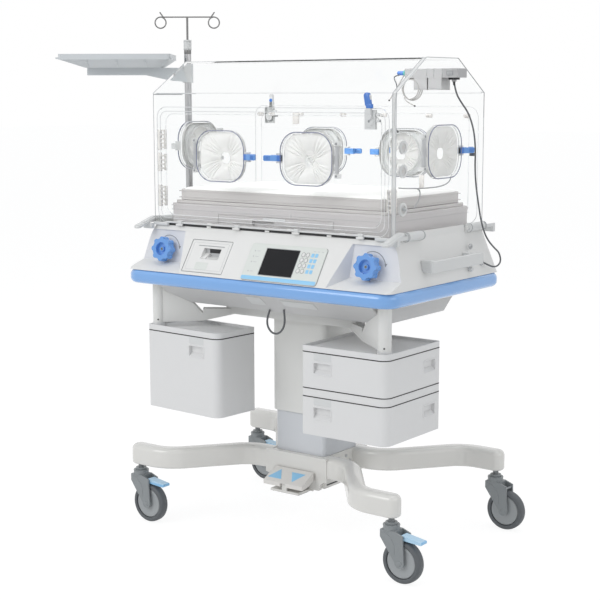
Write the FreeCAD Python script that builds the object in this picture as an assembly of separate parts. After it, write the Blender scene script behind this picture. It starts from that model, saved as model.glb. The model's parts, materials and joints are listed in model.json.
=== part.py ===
"""Infant incubator on a height-adjustable trolley: hood, bed, deck, column, storage bins and casters.

Frame: millimetres, +Z up, +X to the right end, +Y to the rear.
The origin is on the floor under the middle of the column and of the four caster stems.
"""
import FreeCAD
import Part
import math
import os

V = FreeCAD.Vector

# Running gap of a shaft in its bore, gap between parts that slide or swing, gap under a resting part
SHAFT_GAP = 0.05
SLIDE_GAP = 0.5
REST_GAP = 0.3

# Casters
STEM_X = 480.0
STEM_Y = 302.0
WHEEL_R = 62.5
WHEEL_W = 32.0
TYRE_T = 14.0
HUB_BORE_R = 6.0
HUB_BOSS_R = 15.0
HUB_WEB_T = 12.0
TRAIL = 40.0
FORK_GAP = 2.0
FORK_T = 5.0
FORK_ARM_R = 15.0
FORK_WHEEL_GAP = 3.5
FORK_HEAD_R = 24.0
FORK_HEAD_Z = 147.0
FORK_HEAD_T = 19.0
STEM_R = 8.0
STEM_DEPTH = 32.0
STEM_CAP_R = 17.0
STEM_CAP_T = 7.0
PEDAL_L = 62.0
PEDAL_W = 30.0
PEDAL_T = 9.0
PEDAL_DROP = 20.0
PEDAL_PIN_R = 3.0
PEDAL_PIN_X = 46.0
PEDAL_PIN_Z = 143.0

# Base castings and legs
LEG_Z0 = 187.0
LEG_Z1 = 252.0
LEG_W = 54.0
LEG_TOP_R = 18.0
LEG_LOW_R = 8.0
LEG_BEND = 52.0
LEG_BEND_R = 110.0
LEG_START_Y = 83.0
LEG_LEAD = 40.0
BASE_HX = 100.0
BASE_HY = 95.0
BASE_Z0 = 150.0
BASE_TOP = 250.0
SKIRT_HX = 118.0
SKIRT_T = 17.0
SKIRT_Z0 = 146.0
ARCH_R = 30.0
BOLT_R = 4.0
BOLT_H = 7.0
BOLT_X = 34.0

# Foot control
ROCKER_HX = 76.0
ROCKER_Y0 = -180.0
ROCKER_Y1 = -118.0
ROCKER_Z_BACK = 203.0
ROCKER_Z_FRONT = 172.0
ROCKER_T = 26.0
ROCKER_PIN_R = 4.0
ROCKER_PIN_Z = 160.0
ROCKER_LUG_HX = 9.0
ROCKER_LUG_T = 7.0
ROCKER_SHELF_T = 7.0

# Lifting column
COL_HX = 96.5
COL_HY = 90.0
COL_R = 16.0
COL_TOP = 572.0
SLEEVE_WALL = 8.0
SLEEVE_Z0 = 378.0
SLEEVE_ROOF = 20.0

# Underside pan and support frame
PAN_HX = 400.0
PAN_Z0 = 712.0
PAN_Y0 = -300.0
PAN_Y1 = 190.0
PAN_FLAT_Y0 = -215.0
PAN_FLAT_Y1 = 105.0
BEAM_HX = 250.0
BEAM_T = 44.0
BEAM_Z0 = 676.0
PIVOT_X = 426.0
PIVOT_Y = -262.0
POST_R = 20.0
POST_Z0 = 648.0
STRUT_T = 30.0
STRUT_END_X = 225.0
STRUT_END_Y = -122.0
STRUT_SHOULDER = 45.0
STRUT_NECK = 140.0
STRUT_NECK_Z = 676.0
PIN_R = 6.0
PIN_HEAD_R = 11.0
PIN_HEAD_T = 4.0

# Storage bins, sizes from the pivot pin
BIN_TOP = 622.0
BIN_WALL = 3.0
BIN_CORNER_R = 28.0
BIN_EDGE_R = 9.0
LID_GAP = 3.0
LID_T = 17.0
LID_DISH = 8.0
LID_RIM = 5.0
LID_BOSS_R = 21.0
RIGHT_IN = 29.0
RIGHT_OUT = 266.0
RIGHT_FRONT = 33.0
RIGHT_BACK = 257.0
RIGHT_SPLIT_TOP = 518.0
RIGHT_SPLIT_LOW = 490.0
BIN_BOTTOM = 378.0
LEFT_IN = 24.0
LEFT_OUT = 281.0
LEFT_FRONT = 28.0
LEFT_BACK = 143.0
LEFT_TURN = -4.0
PULL_W = 62.0
PULL_H = 34.0
PULL_DEPTH = 11.0
PULL_DROP = 28.0

# Bumper and deck
RIM_HX = 500.0
RIM_Y0 = -345.0
RIM_Y1 = 290.0
RIM_R = 55.0
RIM_T = 22.0
RIM_Z0 = 777.0
RIM_Z1 = 820.0
RIM_ROUND = 17.0
DECK_TOP = 955.0
DECK_LOW_HX = 490.0
DECK_LEAN = 35.0
DECK_TOP_HX = DECK_LOW_HX - DECK_LEAN
DECK_LOW_Y0 = -338.0
DECK_TOP_Y0 = -250.0
DECK_LOW_Y1 = 283.0
DECK_TOP_Y1 = 243.0
DECK_EDGE_R = 24.0
LIP_T = 4.5
LIP_Y0 = -118.0
LIP_Y1 = 120.0
LIP_H = 20.0
RECESS_TOP = 942.0
RECESS_H = 96.0
RECESS_SILL = RECESS_TOP - RECESS_H
RECESS_TOP_Y = -252.0
RECESS_SILL_Y = -268.0
RECESS_BACK_X = 318.0
RECESS_FRONT_X = 262.0

# Tilt knobs
KNOB_X = 382.0
KNOB_Z = 880.0
KNOB_R = 33.0
KNOB_LOBES = 8
KNOB_LOBE_R = 8.5
KNOB_LOBE_AT = 30.0
KNOB_T = 26.0
KNOB_STAND = 12.0
KNOB_DISH_R = 20.0
KNOB_DISH = 11.0
KNOB_NECK_R = 17.0
KNOB_SHAFT_R = 6.0
KNOB_SHAFT_L = 25.0

# Control panel, display and pull-out reservoir drawer on the sloping front
PANEL_X0 = -33.0
PANEL_X1 = 240.0
PANEL_TOP = 38.0
PANEL_LOW = 158.0
PANEL_T = 4.0
PANEL_R = 9.0
SCREEN_X0 = 27.0
SCREEN_X1 = 147.0
SCREEN_TOP = 53.0
SCREEN_LOW = 139.0
SCREEN_T = 2.0
SCREEN_SUNK = 0.4
DRAWER_X0 = -268.0
DRAWER_X1 = -112.0
DRAWER_Z0 = 830.0
DRAWER_Z1 = 920.0
DRAWER_BACK = -140.0
DRAWER_WALL = 4.0
DRAWER_FACE_Y = -262.0
GRIP_X0 = -214.0
GRIP_X1 = -146.0
GRIP_Z0 = 868.0
GRIP_Z1 = 898.0
GRIP_DEPTH_Y = -276.0

# Side handles
HANDLE_Y0 = -160.0
HANDLE_Y1 = 130.0
HANDLE_X = 508.0
HANDLE_T = 12.0
HANDLE_Z0 = 862.0
HANDLE_H = 34.0
HANDLE_FOOT = 22.0
HANDLE_FOOT_Y = (-150.0, 84.0)

# Hood corner catches
HOOD_HX = 449.0
CATCH_X = HOOD_HX + 14.0
CATCH_Z = 966.0
CATCH_R = 13.0
CATCH_Y0 = 128.0
CATCH_Y1 = 224.0
CATCH_REACH_Y = 276.0
CATCH_ARM_X0 = CATCH_X - 23.0
CATCH_ARM_X1 = CATCH_X + 12.0
CATCH_ARM_Z0 = 944.0
CATCH_ARM_Z1 = 960.0
CATCH_ARM_BACK = 262.0
CATCH_PIN_R = 4.0
CATCH_LUG_T = 4.0
CATCH_LUG_R = 6.0
CATCH_LUG_X = 2.5
CATCH_ROOM = 2.0
CATCH_LINK_IN = 3.0
CATCH_LINK_LOW = 6.0
CATCH_LINK_UP = 4.0

# Hood
HOOD_Y0 = -247.0
HOOD_Y1 = 239.0
HOOD_Z0 = DECK_TOP + 0.4
HOOD_SHOULDER = 1364.0
HOOD_TOP = 1462.5
HOOD_FLAT_Y0 = -92.0
HOOD_FLAT_Y1 = 84.0
HOOD_T = 5.0
DOORWAY_HX = 400.0
DOORWAY_Z0 = 990.0
DOORWAY_Z1 = 1300.0
DOORWAY_R = 30.0
DOOR_HX = 430.0
DOOR_Z0 = 966.0
DOOR_Z1 = 1322.0
DOOR_R = 34.0
DOOR_GAP = 0.6
DOOR_ROD_R = 3.0
CLIP_X = (-339.0, -112.0, 112.0, 339.0)
CLIP_W = 16.0
CLIP_Z0 = 957.0
CLIP_Z1 = 972.0
HINGE_X = (-300.0, 300.0)
HINGE_Y = 253.0
HINGE_Z = 963.0
HINGE_R = 7.0
HINGE_PIN_R = 4.0
HINGE_EAR_T = 6.0
HINGE_W = 30.0
GROMMET_Y = -216.0
GROMMET_R = 19.0
GROMMET_T = 6.0
GROMMET_DISH_R = 12.0
GROMMET_DISH = 3.0
GROMMET_Z = (1043.0, 1149.0, 1215.0)

# Hand ports
PORT_X = 160.0
PORT_Z = 1177.0
END_PORT_Y = -20.0
END_PORT_Z = 1197.0
PORT_HOLE_R = 62.0
RING_HX = 74.0
RING_HY = 68.0
RING_R = 50.0
RING_T = 10.0
PORT_HX = 93.0
PORT_HY = 77.0
PORT_R = 58.0
PORT_T = 12.0
PORT_WALL = 3.0
PORT_HINGE_U = 104.0
PORT_HINGE_W = 13.0
PORT_BARREL_R = 6.0
PORT_PIN_R = 2.5
PORT_BARREL_H = 76.0
PORT_LUG_H = 12.0
PORT_LUG_GAP = 2.0
TAB_L = 34.0
TAB_HY = 9.0
CUFF_T = 3.0
CUFF_HOLE_R = 13.0
CUFF_W = 4.0

# Door latches
LATCH_X = 372.0
LATCH_Z = 1300.0
LATCH_BASE_HX = 17.0
LATCH_BASE_Z0 = 1264.0
LATCH_BASE_Z1 = 1318.0
LATCH_BASE_T = 11.0
LATCH_R = 10.0
LATCH_L = 60.0
LATCH_T = 8.0
LATCH_PIN_R = 3.0

# Bed
BED_HX = HOOD_HX - 39.0
BED_Y0 = -215.0
BED_Y1 = 225.0
BED_Z1 = 1023.0
BED_R = 14.0
TRAY_FACE_HX = 218.0
TRAY_FACE_Z0 = 968.0
TRAY_FACE_Z1 = 996.0
TRAY_GROOVE = 2.5
TRAY_NOTCH_HX = 42.0
CRADLE_HX = BED_HX - 10.0
CRADLE_Y0 = -208.0
CRADLE_Y1 = 218.0
CRADLE_T = 10.0
BOWL_HX = BED_HX - 22.0
BOWL_Y0 = -203.0
BOWL_Y1 = 213.0
BOWL_H = 33.0
BOWL_WALL = 4.0
BOWL_FLOOR = 5.0
BOWL_R = 20.0
PAD_IN = 5.0
PAD_T = 38.0
PAD_R = 16.0

# Infusion pole, hook and instrument shelf
POLE_X = -555.0
POLE_Y = 37.0
POLE_R = 11.5
POLE_Z0 = 852.0
POLE_Z1 = 1505.0
POLE_BORE = 350.0
COLLAR_R = 13.0
COLLAR_Z1 = 1538.0
CLAMP_HY = 20.0
ROD_R = 3.5
ROD_Z0 = 1180.0
HOOK_Z = 1612.0
HOOK_WIRE_R = 2.2
HOOK_LOOP_R = 18.0
HOOK_LOOP_AT = 88.0
HOOK_TIP = 16.0
VIEW_TURN = 36.7
SHELF_CLAMP_Z0 = 1397.0
SHELF_CLAMP_Z1 = 1458.0
SHELF_CLAMP_H = 17.0
SHELF_S0 = 48.0
SHELF_S1 = 410.0
SHELF_HY = 120.0
SHELF_RIM_Z0 = 1472.0
SHELF_RIM_Z1 = 1490.0
SHELF_DISH = 10.0
SHELF_RIM_T = 4.0
SHELF_LOW_Z = 1447.0
SHELF_LOW_S0 = 85.0
SHELF_LOW_S1 = 331.0
SHELF_LOW_HY = 72.0
ARM_LOW_Z = 1423.0
ARM_HY = 20.0
ARM_KNEE = 138.0
RIB_S = (131.0, 224.0, 320.0)
RIB_T = 5.0
RIB_DROP = 8.0
HOOK_TAB_UP = 2.0
HOOK_TAB_T = 5.0
HOOK_TAB_L = 9.0
HOOK_TAB_HY = 9.0

# Sensor module through the right end of the hood
SENSOR_X0 = 315.0
SENSOR_X1 = 494.0
SENSOR_Y0 = 5.0
SENSOR_Y1 = 55.0
SENSOR_Z0 = 1407.0
SENSOR_Z1 = 1433.0
SENSOR_POD_Z0 = 1372.0
SENSOR_POD_X = (345.0, 394.0)
SENSOR_POD_L = 44.0
PLUG_X = 467.0
PLUG_Y = 30.0
PLUG_R = 7.0
PLUG_Z0 = 1396.0

# Cables: radius and route points, chosen by hand
SENSOR_CABLE_R = 2.5
UPPER_ROUTE = [
    (467, 30, 1396), (468, 37, 1366), (471, 64, 1337), (473, 104, 1307), (474, 136, 1258),
    (474, 149, 1200), (474, 147, 1142), (475, 154, 1088), (480, 159, 1042), (486.9, 161, 1000.5),
]
LOWER_ROUTE = [
    (487.1, 161.1, 999.7), (492, 168, 963), (498, 187, 928), (504, 216, 902), (509, 243, 884),
    (512, 250, 857), (511, 230, 843), (508, 204, 844), (501, 186, 852), (484.3, 180, 860),
]
SOCKET_R = 8.0
SOCKET_L = 6.0
SOCKET_X = 484.0
SOCKET_Y = 180.0
SOCKET_Z = 860.0
LOOP_CABLE_R = 3.0
LOOP_ROUTE = [
    (52, -238, 727.0), (58, -240, 703), (54, -240, 673), (34, -238, 652), (6, -236, 650),
    (-14, -234, 670), (-16, -231, 698), (-8, -228, 719.3),
]

FASCIA_RUN = DECK_TOP_Y0 - DECK_LOW_Y0
FASCIA_RISE = DECK_TOP - RIM_Z1
FASCIA_ANGLE = math.degrees(math.atan2(FASCIA_RISE, FASCIA_RUN))


def block(x0, x1, y0, y1, z0, z1):
    """Box between two corners."""
    return Part.makeBox(x1 - x0, y1 - y0, z1 - z0, V(x0, y0, z0))


def rod(start, end, radius):
    """Cylinder from one point to another."""
    a = V(*start)
    along = V(*end) - a
    return Part.makeCylinder(radius, along.Length, a, along)


def prism(points, direction):
    """Polygon through the points, pushed along a direction."""
    wire = Part.makePolygon([V(*p) for p in points] + [V(*points[0])])
    return Part.Face(wire).extrude(V(*direction))


def prism_yz(points, x0, x1):
    """Outline in Y and Z, carried from x0 to x1."""
    return prism([(x0, y, z) for y, z in points], (x1 - x0, 0, 0))


def prism_xz(points, y0, y1):
    """Outline in X and Z, carried from y0 to y1."""
    return prism([(x, y0, z) for x, z in points], (0, y1 - y0, 0))


def prism_xy(points, z0, z1):
    """Outline in X and Y, carried from z0 to z1."""
    return prism([(x, y, z0) for x, y in points], (0, 0, z1 - z0))


def along_axis(edge, axis):
    """True where an edge is straight and runs along an axis."""
    if not isinstance(edge.Curve, Part.Line):
        return False
    d = edge.Curve.Direction
    return abs(d.dot(axis)) > 1 - 1e-9


def round_edges(shape, radius, test):
    """Fillet the edges that pass a test."""
    return shape.makeFillet(radius, [e for e in shape.Edges if test(e)])


def soft_block(x0, x1, y0, y1, z0, z1, radius, axis=V(0, 0, 1)):
    """Box whose four edges along an axis are rounded."""
    return round_edges(block(x0, x1, y0, y1, z0, z1), radius, lambda e: along_axis(e, axis))


def mirror_x(shape):
    """Mirror image across the middle plane between left and right."""
    return shape.mirror(V(0, 0, 0), V(1, 0, 0))


def mirror_y(shape):
    """Mirror image across the plane between front and rear."""
    return shape.mirror(V(0, 0, 0), V(0, 1, 0))


def turned(shape, centre, degrees):
    """Copy turned about a vertical line."""
    copy = shape.copy()
    copy.rotate(V(*centre), V(0, 0, 1), degrees)
    return copy


def fuse(first, *others):
    """Join solids and merge their flush faces."""
    return first.fuse(list(others)).removeSplitter()


def round_wire(y0, y1, z0, z1, low, top, x):
    """Outline of a bar's section at one x: small radii below, large ones above."""
    diag = 1 - math.sqrt(0.5)

    def arc(cy, cz, r, sy, sz):
        a = V(x, cy + sy * r, cz)
        b = V(x, cy + sy * r * (1 - diag), cz + sz * r * (1 - diag))
        c = V(x, cy, cz + sz * r)
        return a, b, c

    corners = [
        arc(y1 - low, z0 + low, low, 1, -1), arc(y0 + low, z0 + low, low, -1, -1),
        arc(y0 + top, z1 - top, top, -1, 1), arc(y1 - top, z1 - top, top, 1, 1),
    ]
    edges = []
    ends = []
    for i, (a, b, c) in enumerate(corners):
        edges.append(Part.Arc(a, b, c).toShape())
        ends.append((a, c))
    edges.append(Part.LineSegment(ends[0][1], ends[1][1]).toShape())
    edges.append(Part.LineSegment(ends[1][0], ends[2][0]).toShape())
    edges.append(Part.LineSegment(ends[2][1], ends[3][1]).toShape())
    edges.append(Part.LineSegment(ends[3][0], ends[0][0]).toShape())
    return Part.Wire(Part.__sortEdges__(edges))


def leg(sx, sy):
    """One leg of a base casting: an S-bend bar with a round end over the caster stem."""
    bend = math.radians(LEG_BEND)
    arc_dx = LEG_BEND_R * math.sin(bend)
    arc_dy = LEG_BEND_R * (1 - math.cos(bend))
    slant_dy = STEM_Y - LEG_START_Y - 2 * arc_dy
    slant_dx = slant_dy / math.tan(bend)
    p0 = V(BASE_HX, LEG_START_Y, 0)
    p1 = p0 + V(LEG_LEAD, 0, 0)
    p2 = p1 + V(arc_dx, arc_dy, 0)
    p3 = p2 + V(slant_dx, slant_dy, 0)
    p4 = p3 + V(arc_dx, arc_dy, 0)
    p5 = V(STEM_X, STEM_Y, 0)
    half = bend / 2
    m1 = p1 + V(LEG_BEND_R * math.sin(half), LEG_BEND_R * (1 - math.cos(half)), 0)
    m2 = p4 - V(LEG_BEND_R * math.sin(half), LEG_BEND_R * (1 - math.cos(half)), 0)
    path = Part.Wire([
        Part.LineSegment(p0, p1).toShape(), Part.Arc(p1, m1, p2).toShape(),
        Part.LineSegment(p2, p3).toShape(), Part.Arc(p3, m2, p4).toShape(),
        Part.LineSegment(p4, p5).toShape(),
    ])
    section = round_wire(
        LEG_START_Y - LEG_W / 2, LEG_START_Y + LEG_W / 2, LEG_Z0, LEG_Z1, LEG_LOW_R, LEG_TOP_R, BASE_HX)
    bar = path.makePipeShell([section], True, False)
    end = round_wire(STEM_Y - LEG_W / 2, STEM_Y + LEG_W / 2, LEG_Z0, LEG_Z1, LEG_LOW_R, LEG_TOP_R, STEM_X)
    half_room = block(STEM_X, STEM_X + LEG_W, STEM_Y - LEG_W, STEM_Y + LEG_W, LEG_Z0, LEG_Z1)
    cap = Part.Face(end).common(block(
        STEM_X - 1, STEM_X + 1, STEM_Y, STEM_Y + LEG_W, LEG_Z0, LEG_Z1)).revolve(V(*p5), V(0, 0, 1), 360)
    shape = fuse(bar, cap.common(half_room))
    socket = rod((STEM_X, STEM_Y, LEG_Z0 - 1), (STEM_X, STEM_Y, LEG_Z0 + STEM_DEPTH), STEM_R + SHAFT_GAP)
    shape = shape.cut(socket)
    if sx < 0:
        shape = mirror_x(shape)
    if sy < 0:
        shape = mirror_y(shape)
    return shape


def base_casting(sy):
    """Two legs and the skirt that joins them across the base, with an arch at each side."""
    skirt = block(-SKIRT_HX, SKIRT_HX, BASE_HY, BASE_HY + SKIRT_T, SKIRT_Z0, BASE_TOP)
    for side in (-1, 1):
        arch = rod((side * SKIRT_HX, BASE_HY - 1, SKIRT_Z0), (side * SKIRT_HX, BASE_HY + SKIRT_T + 1, SKIRT_Z0),
                   ARCH_R)
        skirt = skirt.cut(arch)
    bolts = [rod((x, BASE_HY + SKIRT_T / 2, SKIRT_Z0 - BOLT_H), (x, BASE_HY + SKIRT_T / 2, SKIRT_Z0), BOLT_R)
             for x in (-SKIRT_HX / 2, BOLT_X, SKIRT_HX / 2)]
    if sy < 0:
        skirt = mirror_y(skirt)
        bolts = [mirror_y(b) for b in bolts]
    return fuse(skirt, leg(1, sy), leg(-1, sy), *bolts)


def caster(sx, sy):
    """Fork, wheel and pedal of one caster, trailing towards +X."""
    cx = sx * STEM_X
    cy = sy * STEM_Y
    ax = cx + TRAIL
    half = WHEEL_W / 2 + FORK_GAP
    side = half + FORK_T
    head_low = FORK_HEAD_Z - FORK_HEAD_R

    cheek = fuse(
        rod((ax, cy - side, WHEEL_R), (ax, cy + side, WHEEL_R), FORK_ARM_R),
        prism_xz([
            (ax - FORK_ARM_R, WHEEL_R), (cx - FORK_HEAD_R, head_low + FORK_ARM_R / 2),
            (cx - FORK_HEAD_R, FORK_HEAD_Z + FORK_T), (cx + FORK_HEAD_R, FORK_HEAD_Z + FORK_T),
            (cx + PEDAL_PIN_X + FORK_T, FORK_HEAD_Z - FORK_T), (cx + PEDAL_PIN_X + FORK_T, FORK_HEAD_Z - FORK_HEAD_T),
            (ax + FORK_ARM_R, WHEEL_R),
        ], cy - side, cy + side))
    room = rod((ax, cy - half, WHEEL_R), (ax, cy + half, WHEEL_R), WHEEL_R + FORK_WHEEL_GAP)
    slot = block(cx + FORK_HEAD_R + FORK_GAP, ax + WHEEL_R, cy - half, cy + half, WHEEL_R, FORK_HEAD_Z + FORK_HEAD_T)
    fork = cheek.cut(room).cut(slot)
    fork = fuse(
        fork,
        rod((cx, cy, FORK_HEAD_Z), (cx, cy, FORK_HEAD_Z + FORK_HEAD_T), FORK_HEAD_R),
        rod((cx, cy, FORK_HEAD_Z + FORK_HEAD_T), (cx, cy, FORK_HEAD_Z + FORK_HEAD_T + STEM_CAP_T), STEM_CAP_R),
        rod((cx, cy, FORK_HEAD_Z), (cx, cy, LEG_Z0 + STEM_DEPTH - REST_GAP), STEM_R),
        rod((ax, cy - side, WHEEL_R), (ax, cy + side, WHEEL_R), HUB_BORE_R),
        rod((cx + PEDAL_PIN_X, cy - side, PEDAL_PIN_Z - PEDAL_T), (cx + PEDAL_PIN_X, cy + side, PEDAL_PIN_Z - PEDAL_T),
            PEDAL_PIN_R))

    tyre = rod((ax, cy - WHEEL_W / 2, WHEEL_R), (ax, cy + WHEEL_W / 2, WHEEL_R), WHEEL_R)
    tyre = tyre.makeFillet(TYRE_T / 2, [e for e in tyre.Edges if isinstance(e.Curve, Part.Circle)])
    rim_r = WHEEL_R - TYRE_T
    tyre = tyre.cut(rod((ax, cy - WHEEL_W, WHEEL_R), (ax, cy + WHEEL_W, WHEEL_R), rim_r))
    hub = rod((ax, cy - WHEEL_W / 2, WHEEL_R), (ax, cy + WHEEL_W / 2, WHEEL_R), rim_r)
    for face in (-1, 1):
        y0 = cy + face * HUB_WEB_T / 2
        y1 = cy + face * WHEEL_W
        dish = rod((ax, y0, WHEEL_R), (ax, y1, WHEEL_R), rim_r - HUB_BORE_R)
        dish = dish.cut(rod((ax, y0, WHEEL_R), (ax, y1, WHEEL_R), HUB_BOSS_R))
        hub = hub.cut(dish)
    hub = hub.cut(rod((ax, cy - WHEEL_W, WHEEL_R), (ax, cy + WHEEL_W, WHEEL_R), HUB_BORE_R + SHAFT_GAP))
    return fork, Part.Compound([tyre, hub])


def brake_pedal(sx, sy):
    """Foot brake that swings on a pin between the fork cheeks."""
    px = sx * STEM_X + PEDAL_PIN_X
    cy = sy * STEM_Y
    pz = PEDAL_PIN_Z - PEDAL_T
    blade = prism_xz([
        (px - PEDAL_T, pz), (px - PEDAL_T / 2, pz + PEDAL_T), (px + PEDAL_L, pz + PEDAL_T - PEDAL_DROP / 2),
        (px + PEDAL_L, pz - PEDAL_DROP / 2), (px, pz - PEDAL_T * 0.6),
    ], cy - PEDAL_W / 2, cy + PEDAL_W / 2)
    blade = round_edges(blade, PEDAL_T / 3, lambda e: along_axis(e, V(0, 1, 0)) and e.CenterOfMass.x > px + PEDAL_T)
    hole = rod((px, cy - PEDAL_W, pz), (px, cy + PEDAL_W, pz), PEDAL_PIN_R + SHAFT_GAP)
    return blade.cut(hole)


def base_block():
    """Core of the base under the column, with the shelf and pin that carry the foot control."""
    core = block(-BASE_HX, BASE_HX, -BASE_HY, BASE_HY, BASE_Z0, BASE_TOP)
    front = BASE_HY + SKIRT_T
    shelf = block(-ROCKER_HX * 0.7, ROCKER_HX * 0.7, ROCKER_Y0 + ROCKER_T / 3, -front, SKIRT_Z0 - BOLT_H,
                  SKIRT_Z0 - BOLT_H + ROCKER_SHELF_T)
    neck = block(-ROCKER_HX * 0.7, ROCKER_HX * 0.7, -front, -BASE_HY / 2, SKIRT_Z0 - BOLT_H, SKIRT_Z0 - REST_GAP)
    foot = block(-ROCKER_HX * 0.7, ROCKER_HX * 0.7, -BASE_HY, -BASE_HY / 2, SKIRT_Z0 - BOLT_H, BASE_Z0)
    lugs = []
    for y in (ROCKER_Y0 + ROCKER_T / 3, -front - ROCKER_LUG_T - REST_GAP):
        lugs.append(block(-ROCKER_LUG_HX, ROCKER_LUG_HX, y, y + ROCKER_LUG_T, SKIRT_Z0 - BOLT_H,
                          ROCKER_PIN_Z + ROCKER_PIN_R * 2))
    pin = rod((0, ROCKER_Y0 + ROCKER_T / 3, ROCKER_PIN_Z), (0, -front - REST_GAP, ROCKER_PIN_Z), ROCKER_PIN_R)
    shape = fuse(core, foot, shelf, neck, pin, *lugs)
    for x in (-SKIRT_HX / 2, BOLT_X, SKIRT_HX / 2):
        for side in (-1, 1):
            y = side * (BASE_HY + SKIRT_T / 2)
            shape = shape.cut(rod((x, y, SKIRT_Z0 - 2 * BOLT_H), (x, y, SKIRT_Z0), BOLT_R + SLIDE_GAP))
    return shape


def foot_rocker():
    """Two-way rocker pedal with a sloping top, on its pin."""
    top_back = ROCKER_Z_BACK
    top_front = ROCKER_Z_FRONT
    body = prism_yz([
        (ROCKER_Y0, top_front - ROCKER_T / 2), (ROCKER_Y0, top_front), (ROCKER_Y1, top_back),
        (ROCKER_Y1, top_back - ROCKER_T), (ROCKER_Y1 - ROCKER_T, top_front - ROCKER_T / 4),
        (ROCKER_Y0 + ROCKER_T / 3, top_front - ROCKER_T / 2),
    ], -ROCKER_HX, ROCKER_HX)
    body = round_edges(body, ROCKER_T / 8, lambda e: abs(e.CenterOfMass.x) > ROCKER_HX - 1)
    y0 = ROCKER_Y0 + ROCKER_T / 3 + ROCKER_LUG_T + REST_GAP
    y1 = -(BASE_HY + SKIRT_T) - ROCKER_LUG_T - 2 * REST_GAP
    hub = rod((0, y0, ROCKER_PIN_Z), (0, y1, ROCKER_PIN_Z), ROCKER_LUG_HX)
    web = block(-ROCKER_LUG_HX, ROCKER_LUG_HX, y0, y1, ROCKER_PIN_Z, top_front - ROCKER_T / 4)
    room = block(-ROCKER_LUG_HX - 2, ROCKER_LUG_HX + 2, ROCKER_Y0 - 1, y0, 0, ROCKER_PIN_Z + ROCKER_PIN_R * 2 + 2)
    back_room = block(-ROCKER_LUG_HX - 2, ROCKER_LUG_HX + 2, y1, ROCKER_Y1 + 1, 0,
                      ROCKER_PIN_Z + ROCKER_PIN_R * 2 + 2)
    shape = fuse(body, hub, web).cut(room).cut(back_room)
    return shape.cut(rod((0, ROCKER_Y0, ROCKER_PIN_Z), (0, 0, ROCKER_PIN_Z), ROCKER_PIN_R + SHAFT_GAP))


def column():
    """Inner column fixed to the base and the sleeve that rises on it."""
    inner = soft_block(-COL_HX, COL_HX, -COL_HY, COL_HY, BASE_TOP, COL_TOP, COL_R)
    hx = COL_HX + SLIDE_GAP + SLEEVE_WALL
    hy = COL_HY + SLIDE_GAP + SLEEVE_WALL
    sleeve = soft_block(-hx, hx, -hy, hy, SLEEVE_Z0, PAN_Z0, COL_R + SLEEVE_WALL)
    bore = soft_block(-COL_HX - SLIDE_GAP, COL_HX + SLIDE_GAP, -COL_HY - SLIDE_GAP, COL_HY + SLIDE_GAP,
                      SLEEVE_Z0 - 1, PAN_Z0 - SLEEVE_ROOF, COL_R)
    return inner, sleeve.cut(bore)


def lower_pan():
    """Closed underside of the deck, flat in the middle and sloping up to the bumper."""
    outline = [(PAN_Y0, RIM_Z0), (PAN_FLAT_Y0, PAN_Z0), (PAN_FLAT_Y1, PAN_Z0), (PAN_Y1, RIM_Z0)]
    return prism_yz(outline, -PAN_HX, PAN_HX)


def strut():
    """Plate from the right-hand pivot post back to the beam, tall at the post and slim behind."""
    run = V(STRUT_END_X - PIVOT_X, STRUT_END_Y - PIVOT_Y, 0)
    length = run.Length
    plate = prism_xz([
        (0, POST_Z0), (0, RIM_Z0), (STRUT_SHOULDER, RIM_Z0), (STRUT_NECK, STRUT_NECK_Z + SLIDE_GAP),
        (STRUT_NECK, PAN_Z0 - POST_R), (length, PAN_Z0 - POST_R), (length, BEAM_Z0), (STRUT_NECK, POST_Z0 + FORK_T),
    ], -STRUT_T / 2, STRUT_T / 2)
    plate.rotate(V(0, 0, 0), V(0, 0, 1), math.degrees(math.atan2(run.y, run.x)))
    plate.translate(V(PIVOT_X, PIVOT_Y, 0))
    return plate


def support_frame(pan):
    """Cross beam in front of the column with a bracket, post and pivot pin at each end."""
    hy = COL_HY + SLIDE_GAP + SLEEVE_WALL
    beam = block(-BEAM_HX, BEAM_HX, -hy - BEAM_T, -hy, BEAM_Z0, PAN_Z0)
    post = rod((PIVOT_X, PIVOT_Y, POST_Z0), (PIVOT_X, PIVOT_Y, RIM_Z0), POST_R)
    arm = fuse(strut(), post)
    pin = rod((PIVOT_X, PIVOT_Y, BIN_BOTTOM - REST_GAP - PIN_HEAD_T), (PIVOT_X, PIVOT_Y, POST_Z0), PIN_R)
    head = rod((PIVOT_X, PIVOT_Y, BIN_BOTTOM - REST_GAP - PIN_HEAD_T),
               (PIVOT_X, PIVOT_Y, BIN_BOTTOM - REST_GAP), PIN_HEAD_R)
    arm = fuse(arm, pin, head)
    return fuse(beam, arm, mirror_x(arm)).cut(pan)


def pull(face_x, face_y, z_top, along):
    """Finger cup of a bin: the block behind the wall and the pocket cut into it."""
    if along == "x":
        cup = block(face_x - PULL_W / 2 - BIN_WALL, face_x + PULL_W / 2 + BIN_WALL, face_y,
                    face_y + PULL_DEPTH + BIN_WALL, z_top - PULL_H - BIN_WALL, z_top + BIN_WALL)
        pocket = block(face_x - PULL_W / 2, face_x + PULL_W / 2, face_y - 1, face_y + PULL_DEPTH,
                       z_top - PULL_H, z_top)
        return cup, pocket
    cup = block(face_x - PULL_DEPTH - BIN_WALL, face_x, face_y - PULL_W / 2 - BIN_WALL,
                face_y + PULL_W / 2 + BIN_WALL, z_top - PULL_H - BIN_WALL, z_top + BIN_WALL)
    pocket = block(face_x - PULL_DEPTH, face_x + 1, face_y - PULL_W / 2, face_y + PULL_W / 2,
                   z_top - PULL_H, z_top)
    return cup, pocket


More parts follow.
